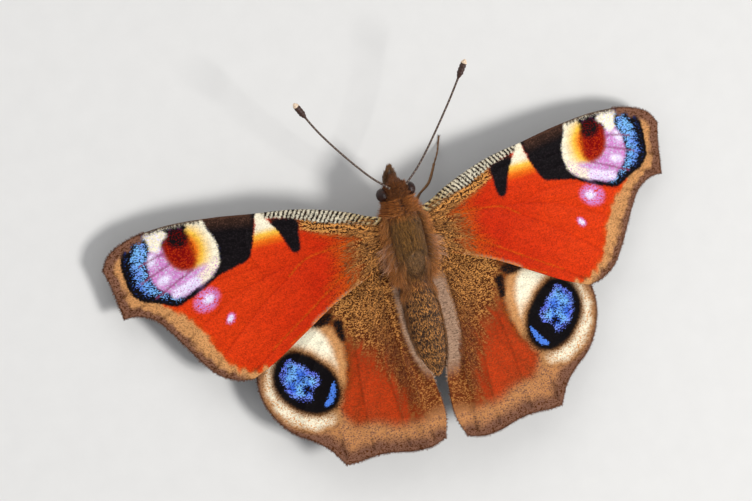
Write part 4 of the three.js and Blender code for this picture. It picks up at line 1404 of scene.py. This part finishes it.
class BUTTERFLY_OT_body_skin(bpy.types.Operator):
    """Make the one skin of the head, thorax and abdomen"""

    bl_idname = "butterfly.body_skin"
    bl_label = "Body skin"

    def execute(self, context):
        sides, rings = SKIN_SIDES, SKIN_RINGS
        forward = np.linspace(BODY_FRONT - 0.12, ABDOMEN_FRONT - ABDOMEN_LENGTH + 0.18, rings)
        f, a = np.repeat(forward, sides), np.tile(TURN * np.arange(sides) / sides, rings)
        piece = new_piece("body_skin", to_row(skin_point(f, a)), closed_tube(rings, sides))
        turn_outward(piece)
        # Painted shade under the coat: the skin takes the hair's colour, darkened to a little over
        # half.
        colours = skin_colour(f, a, np.random.default_rng(SKIN_SEED)) * 0.55
        set_colours(piece.data, "ground", colours)
        k = np.arange(rings * sides)
        places = np.column_stack([k % sides / sides, k // sides / (rings - 1)])
        set_map(piece.data, "OFBake", 0.01 + 0.98 * places)
        finish_piece(piece, "body_fur", hair_material("body_skin"), "head", "thorax", "abdomen")
        return {"FINISHED"}


def coat(name, slot, count, front, rear, length, width, lift, seed, lean=0.0, back=1.0, out=0.0,
         sides=None, tint=None, spread=0.24):
    """Hair over a stretch of the body, as a row of COATS says. Sides limits it to angles round the
    body, alike on both sides."""
    rng = np.random.default_rng(seed)
    f = rng.uniform(rear, front, count)
    a = rng.uniform(0, TURN, count)
    if sides:
        a = rng.uniform(*sides, count)
        a = np.where(rng.uniform(0, 1, count) < 0.5, a, math.pi - a)
    roots = to_row(skin_point(f, a))
    up = unit(to_row(skin_point(f, a, 0.4)) - roots)
    along = unit(to_row(skin_point(f - 0.25, a)) - roots)
    outward = np.sign(roots[:, :1]) * (1.0, 0, 0)
    sway = rng.normal(0, spread, count)[:, None] * np.cross(up, along)
    lie = back * along + sway + lean * up + out * outward
    colour = skin_colour(f, a, rng) * rng.uniform(0.5, 1.6, count)[:, None]
    if tint:
        own = sum(colour_of(key) * share for key, share in tint.items())
        colour = colour * 0.25 + 0.75 * own * rng.uniform(0.45, 1.6, count)[:, None]
    size_name, share = length
    size = size_of(size_name) * share * rng.uniform(0.55, 1.2, count)
    size = size * (0.4 + 0.6 * ramp(from_shield(f, a), 1.2, 1.8))
    if name.startswith("abdomen"):
        size = size * (1 + 0.9 * ramp(f, -7, -4) + 0.3 * ramp(f, -12.5, -14))
    patch = 0.01 + 0.98 * np.column_stack([a % TURN / TURN, (BODY_FRONT - f) / BODY_LENGTH])
    tufts = Tufts()
    # Roots darker and tips lighter: partly the hair's own colour, partly painted shade deep in the
    # coat and painted highlight on the tips.
    tufts.grow(roots, lie, up, size, width, colour * 0.4, colour * 1.5, patch, lift, 0.2)
    finish_piece(tufts.piece(name), slot, hair_material(name))


class BUTTERFLY_OT_body_coat(bpy.types.Operator):
    """Grow the hair of the thorax, the abdomen and the head"""

    bl_idname = "butterfly.body_coat"
    bl_label = "Body coat"

    def execute(self, context):
        for name, row in COATS.items():
            coat(name, **row)
        return {"FINISHED"}


class BUTTERFLY_OT_eyes(bpy.types.Operator):
    """Make the two compound eyes"""

    bl_idname = "butterfly.eyes"
    bl_label = "Eyes"

    def execute(self, context):
        made = eye_material()
        for name, side in SIDES.items():
            bpy.ops.object.select_all(action="DESELECT")
            centre = to_row([(side * EYE["out"], EYE["forward"], EYE["height"])])[0] * MM
            bpy.ops.mesh.primitive_ico_sphere_add(subdivisions=5, radius=MM, location=centre)
            piece = context.active_object
            piece.name = piece.data.name = f"compound_eye_{name}"
            bpy.ops.transform.resize(value=EYE_RADII, center_override=tuple(centre))
            bpy.ops.object.transform_apply(location=True, rotation=True, scale=True)
            bpy.ops.object.shade_smooth()
            finish_piece(piece, "eye", made, f"eye_{name}")
        return {"FINISHED"}


def palp_radius(t):
    swell = 0.75 + 0.25 * math.sin(math.pi * min(1, t * 1.4))
    return PALP_RADIUS * swell * (1 - 0.78 * max(0, (t - 0.3) / 0.7) ** 1.3)


class BUTTERFLY_OT_mouthparts(bpy.types.Operator):
    """Make the two palps and the coiled tongue"""

    bl_idname = "butterfly.mouthparts"
    bl_label = "Palps and tongue"

    def execute(self, context):
        brown = colour_of("horn")
        shell, fur = shell_material("palp_shell"), hair_material("palp_hair", 0.25, 0.55)
        for name, side in SIDES.items():
            rings = tube_piece(
                f"palp_core_{name}", "body_fur", shell, f"palp_{name}",
                np.array(PALP_LINE) * (side, 1, 1), palp_radius, PALP_SIDES,
                lambda t: brown * (0.55 - 0.2 * t), 0.08)
            tufts = Tufts()
            seed = PALP_SEED + side
            hairs_on_tube(tufts, rings, PALP_SIDES, brown * 0.7, 0.5, 0.05, seed, 0.9, 0.25)
            finish_piece(tufts.piece(f"palp_hair_{name}"), "body_fur", fur)
        turns = np.linspace(0, TURN * PROBOSCIS["turns"], 60)
        reach = np.linspace(PROBOSCIS["outer"], PROBOSCIS["inner"], 60)
        forward = PROBOSCIS["forward"] - reach * np.cos(turns)
        height = PROBOSCIS["height"] + reach * np.sin(turns)
        line = np.column_stack([0.03 * np.sin(turns * 0.5), forward, height])
        tube_piece("coiled_tongue", "proboscis", shell_material("tongue_shell"), "proboscis", line,
                   lambda t: 0.085 - 0.045 * t, 12,
                   lambda t: brown * (0.35 + 0.15 * math.sin(t * 260)), 0.05)
        return {"FINISHED"}


class BUTTERFLY_OT_antennae(bpy.types.Operator):
    """Make the two antennae, ringed, with their clubs"""

    bl_idname = "butterfly.antennae"
    bl_label = "Antennae"

    def execute(self, context):
        made = shell_material("antenna_shell", 0.5)
        dark, pale, orange = colour_of("antenna"), colour_of("cream"), colour_of("orange")
        thin, thick = size_of("antenna_radius"), size_of("club_radius")

        def radius(t):
            ring = 1 - 0.16 * bell(t * ANTENNA_JOINTS % 1 - 0.5, 0.16)
            end = math.sqrt(max(0.02, 1 - max(0, (t - 0.955) / 0.045) ** 2))
            return mix(thin, thick, ramp(t, 0.84, 0.9)) * ring * end * (1.25 if t < 0.02 else 1)

        def colour(t):
            if t > 0.972:
                return orange * 0.2 + pale * 0.75
            banded = t * ANTENNA_JOINTS % 1 < 0.22 and t < 0.86
            return dark * 0.8 + pale * (0.22 if banded else 0)

        for name, side in SIDES.items():
            tube_piece(f"ringed_antenna_{name}", "antenna", made, f"antenna_{name}",
                       np.array(ANTENNA_LINE) * (side, 1, 1), radius, ANTENNA_SIDES, colour, 0.05)
        return {"FINISHED"}


def leg_shape(horn, knee, ankle):
    """A leg's radius and colour at each share of its length: thigh, shin and five toe joints."""
    toes = (1 - ankle) / 5

    def radius(t):
        if t < knee:
            return 0.21 - 0.07 * (t / knee) + 0.03 * math.sin(math.pi * t / knee)
        if t < ankle:
            s = (t - knee) / (ankle - knee)
            return 0.115 + 0.035 * math.sin(math.pi * s) + 0.02 * (s > 0.93)
        s = ((t - ankle) / toes) % 1
        return 0.075 + 0.03 * s * s - 0.02 * (t > 0.985)

    def tone(t):
        joint = min(abs(t - knee), abs(t - ankle)) < 0.012
        return horn * (0.45 if joint else 0.85 - 0.25 * t)

    return radius, tone


def grow_claws(tufts, rings, horn):
    """Two claws at the end of a leg made of rings of points."""
    middle = rings.reshape(-1, LEG_SIDES, 3).mean(1)
    end, before = middle[-1], middle[-5]
    way = (end - before) / np.linalg.norm(end - before)
    across = np.cross(way, (0, 0, 1))
    roots = np.array([end - way * 0.05 + across * k * 0.05 for k in (-1, 1)])
    lie = np.array([way + across * k * 0.45 for k in (-1, 1)])
    up, dark = np.tile((0.0, 0.0, 1.0), (2, 1)), np.tile(horn * 0.15, (2, 1))
    tufts.grow(roots, lie, up, 0.26, 0.08, dark, dark, np.full((2, 2), 0.5), 0.1, 0.25)


class BUTTERFLY_OT_legs(bpy.types.Operator):
    """Make the six legs with their joints, spines and claws"""

    bl_idname = "butterfly.legs"
    bl_label = "Legs"

    def execute(self, context):
        made, fur = shell_material("leg_shell", 0.45), hair_material("leg_hair")
        horn = colour_of("horn")
        for name, line in LEGS.items():
            tucked = name.startswith("foreleg")
            line = np.array(line) * (SIDES[name.split("_")[1]], 1, 1)
            if not tucked:
                lowered = line[:, 2] - np.linspace(0, LEG_DROP, len(line))
                line[:, 2] = np.maximum(FOOT_HEIGHT, lowered)
            radius, tone = leg_shape(horn, *((0.45, 0.8) if tucked else (0.3, 0.7)))
            rings = tube_piece(f"jointed_{name}", "leg", made, name, line, radius, LEG_SIDES, tone,
                               0.06)
            length, every, lift = (0.34, 0.5, 0.5) if tucked else (0.16, 0.14, 0.3)
            tufts = Tufts()
            hairs_on_tube(tufts, rings, LEG_SIDES, horn * 0.6, length, 0.03, LEG_SEED, every, lift)
            if not tucked:
                grow_claws(tufts, rings, horn)
            finish_piece(tufts.piece(f"{name}_hair"), "leg", fur)
        return {"FINISHED"}


class BUTTERFLY_OT_forewings(bpy.types.Operator):
    """Make both forewings with their markings, fringe and hair"""

    bl_idname = "butterfly.forewings"
    bl_label = "Forewings"

    def execute(self, context):
        build_wings("forewing", paint_forewing)
        return {"FINISHED"}


class BUTTERFLY_OT_hindwings(bpy.types.Operator):
    """Make both hindwings with their markings, fringe and hair"""

    bl_idname = "butterfly.hindwings"
    bl_label = "Hindwings"

    def execute(self, context):
        build_wings("hindwing", paint_hindwing)
        return {"FINISHED"}


# Stage.


def camera_axes():
    """The camera's right, up and back, and its place, in the frame's axes."""
    side, tilt, roll = (math.radians(angle) for angle in CAMERA.values())
    back = [-math.sin(side) * math.cos(tilt), math.sin(tilt), math.cos(side) * math.cos(tilt)]
    back = np.array(back)
    level = np.array([1.0, 0, 0]) - back * back[0]
    level /= np.linalg.norm(level)
    other = np.cross(back, level)
    right = math.cos(roll) * level - math.sin(roll) * other
    up = math.sin(roll) * level + math.cos(roll) * other
    place = np.array(CAMERA_TARGET) + CAMERA_DISTANCE * back
    axes = np.array([right, up, back, place]) * (-1, -1, 1)
    return axes[:3], axes[3] + SHIFT


class BUTTERFLY_OT_stage(bpy.types.Operator):
    """Set up the floor, the lights and the camera"""

    bl_idname = "butterfly.stage"
    bl_label = "Stage"

    def execute(self, context):
        scene = context.scene
        scene.view_settings.view_transform = "Standard"
        bpy.ops.object.select_all(action="DESELECT")
        bpy.ops.mesh.primitive_circle_add(vertices=128, radius=FLOOR_RADIUS, fill_type="NGON")
        floor = context.active_object
        floor.name = "studio_floor"
        floor.data.materials.append(floor_material())

        axes, place = camera_axes()
        camera = link("photo_camera", bpy.data.cameras.new("photo_camera"))
        turn = Matrix(axes.tolist()).transposed().to_4x4()
        camera.matrix_world = Matrix.Translation(Vector(place * MM)) @ turn
        camera.data.lens = CAMERA_LENS
        camera.data.clip_start = 0.01
        camera.data.clip_end = 10
        scene.camera = camera

        for name, (shares, size, power) in LAMPS.items():
            light = bpy.data.lights.new(name, "AREA")
            light.size = size
            light.energy = power
            lamp = link(name, light)
            way = Vector(shares @ axes).normalized()
            lamp.location = way * LAMP_DISTANCE
            lamp.rotation_euler = way.to_track_quat("Z", "Y").to_euler()
        scene.world = bpy.data.worlds.new("soft_room")
        scene.world.use_nodes = True
        for key, value in ROOM_LIGHT.items():
            scene.world.node_tree.nodes["Background"].inputs[key].default_value = value
        return {"FINISHED"}


class BUTTERFLY_PT_panel(bpy.types.Panel):
    """The butterfly's pieces, sizes and colours"""

    bl_idname = "BUTTERFLY_PT_panel"
    bl_label = "Peacock Butterfly"
    bl_space_type = "VIEW_3D"
    bl_region_type = "UI"
    bl_category = "Butterfly"

    def draw(self, context):
        for operator in OPERATORS:
            self.layout.operator(operator.bl_idname)
        for group in (context.scene.butterfly_sizes, context.scene.butterfly_colours):
            for key in group.__annotations__:
                self.layout.prop(group, key)


OPERATORS = (
    BUTTERFLY_OT_forewings, BUTTERFLY_OT_hindwings, BUTTERFLY_OT_body_skin, BUTTERFLY_OT_body_coat,
    BUTTERFLY_OT_eyes, BUTTERFLY_OT_mouthparts, BUTTERFLY_OT_antennae, BUTTERFLY_OT_legs,
    BUTTERFLY_OT_stage,
)
CLASSES = (ButterflySizes, ButterflyColours, *OPERATORS, BUTTERFLY_PT_panel)


def register():
    for cls in CLASSES:
        bpy.utils.register_class(cls)
    bpy.types.Scene.butterfly_sizes = bpy.props.PointerProperty(type=ButterflySizes)
    bpy.types.Scene.butterfly_colours = bpy.props.PointerProperty(type=ButterflyColours)


def unregister():
    del bpy.types.Scene.butterfly_colours
    del bpy.types.Scene.butterfly_sizes
    for cls in reversed(CLASSES):
        bpy.utils.unregister_class(cls)


def main():
    register()
    for operator in OPERATORS:
        group, name = operator.bl_idname.split(".")
        getattr(getattr(bpy.ops, group), name)()


if __name__ == "__main__":
    main()
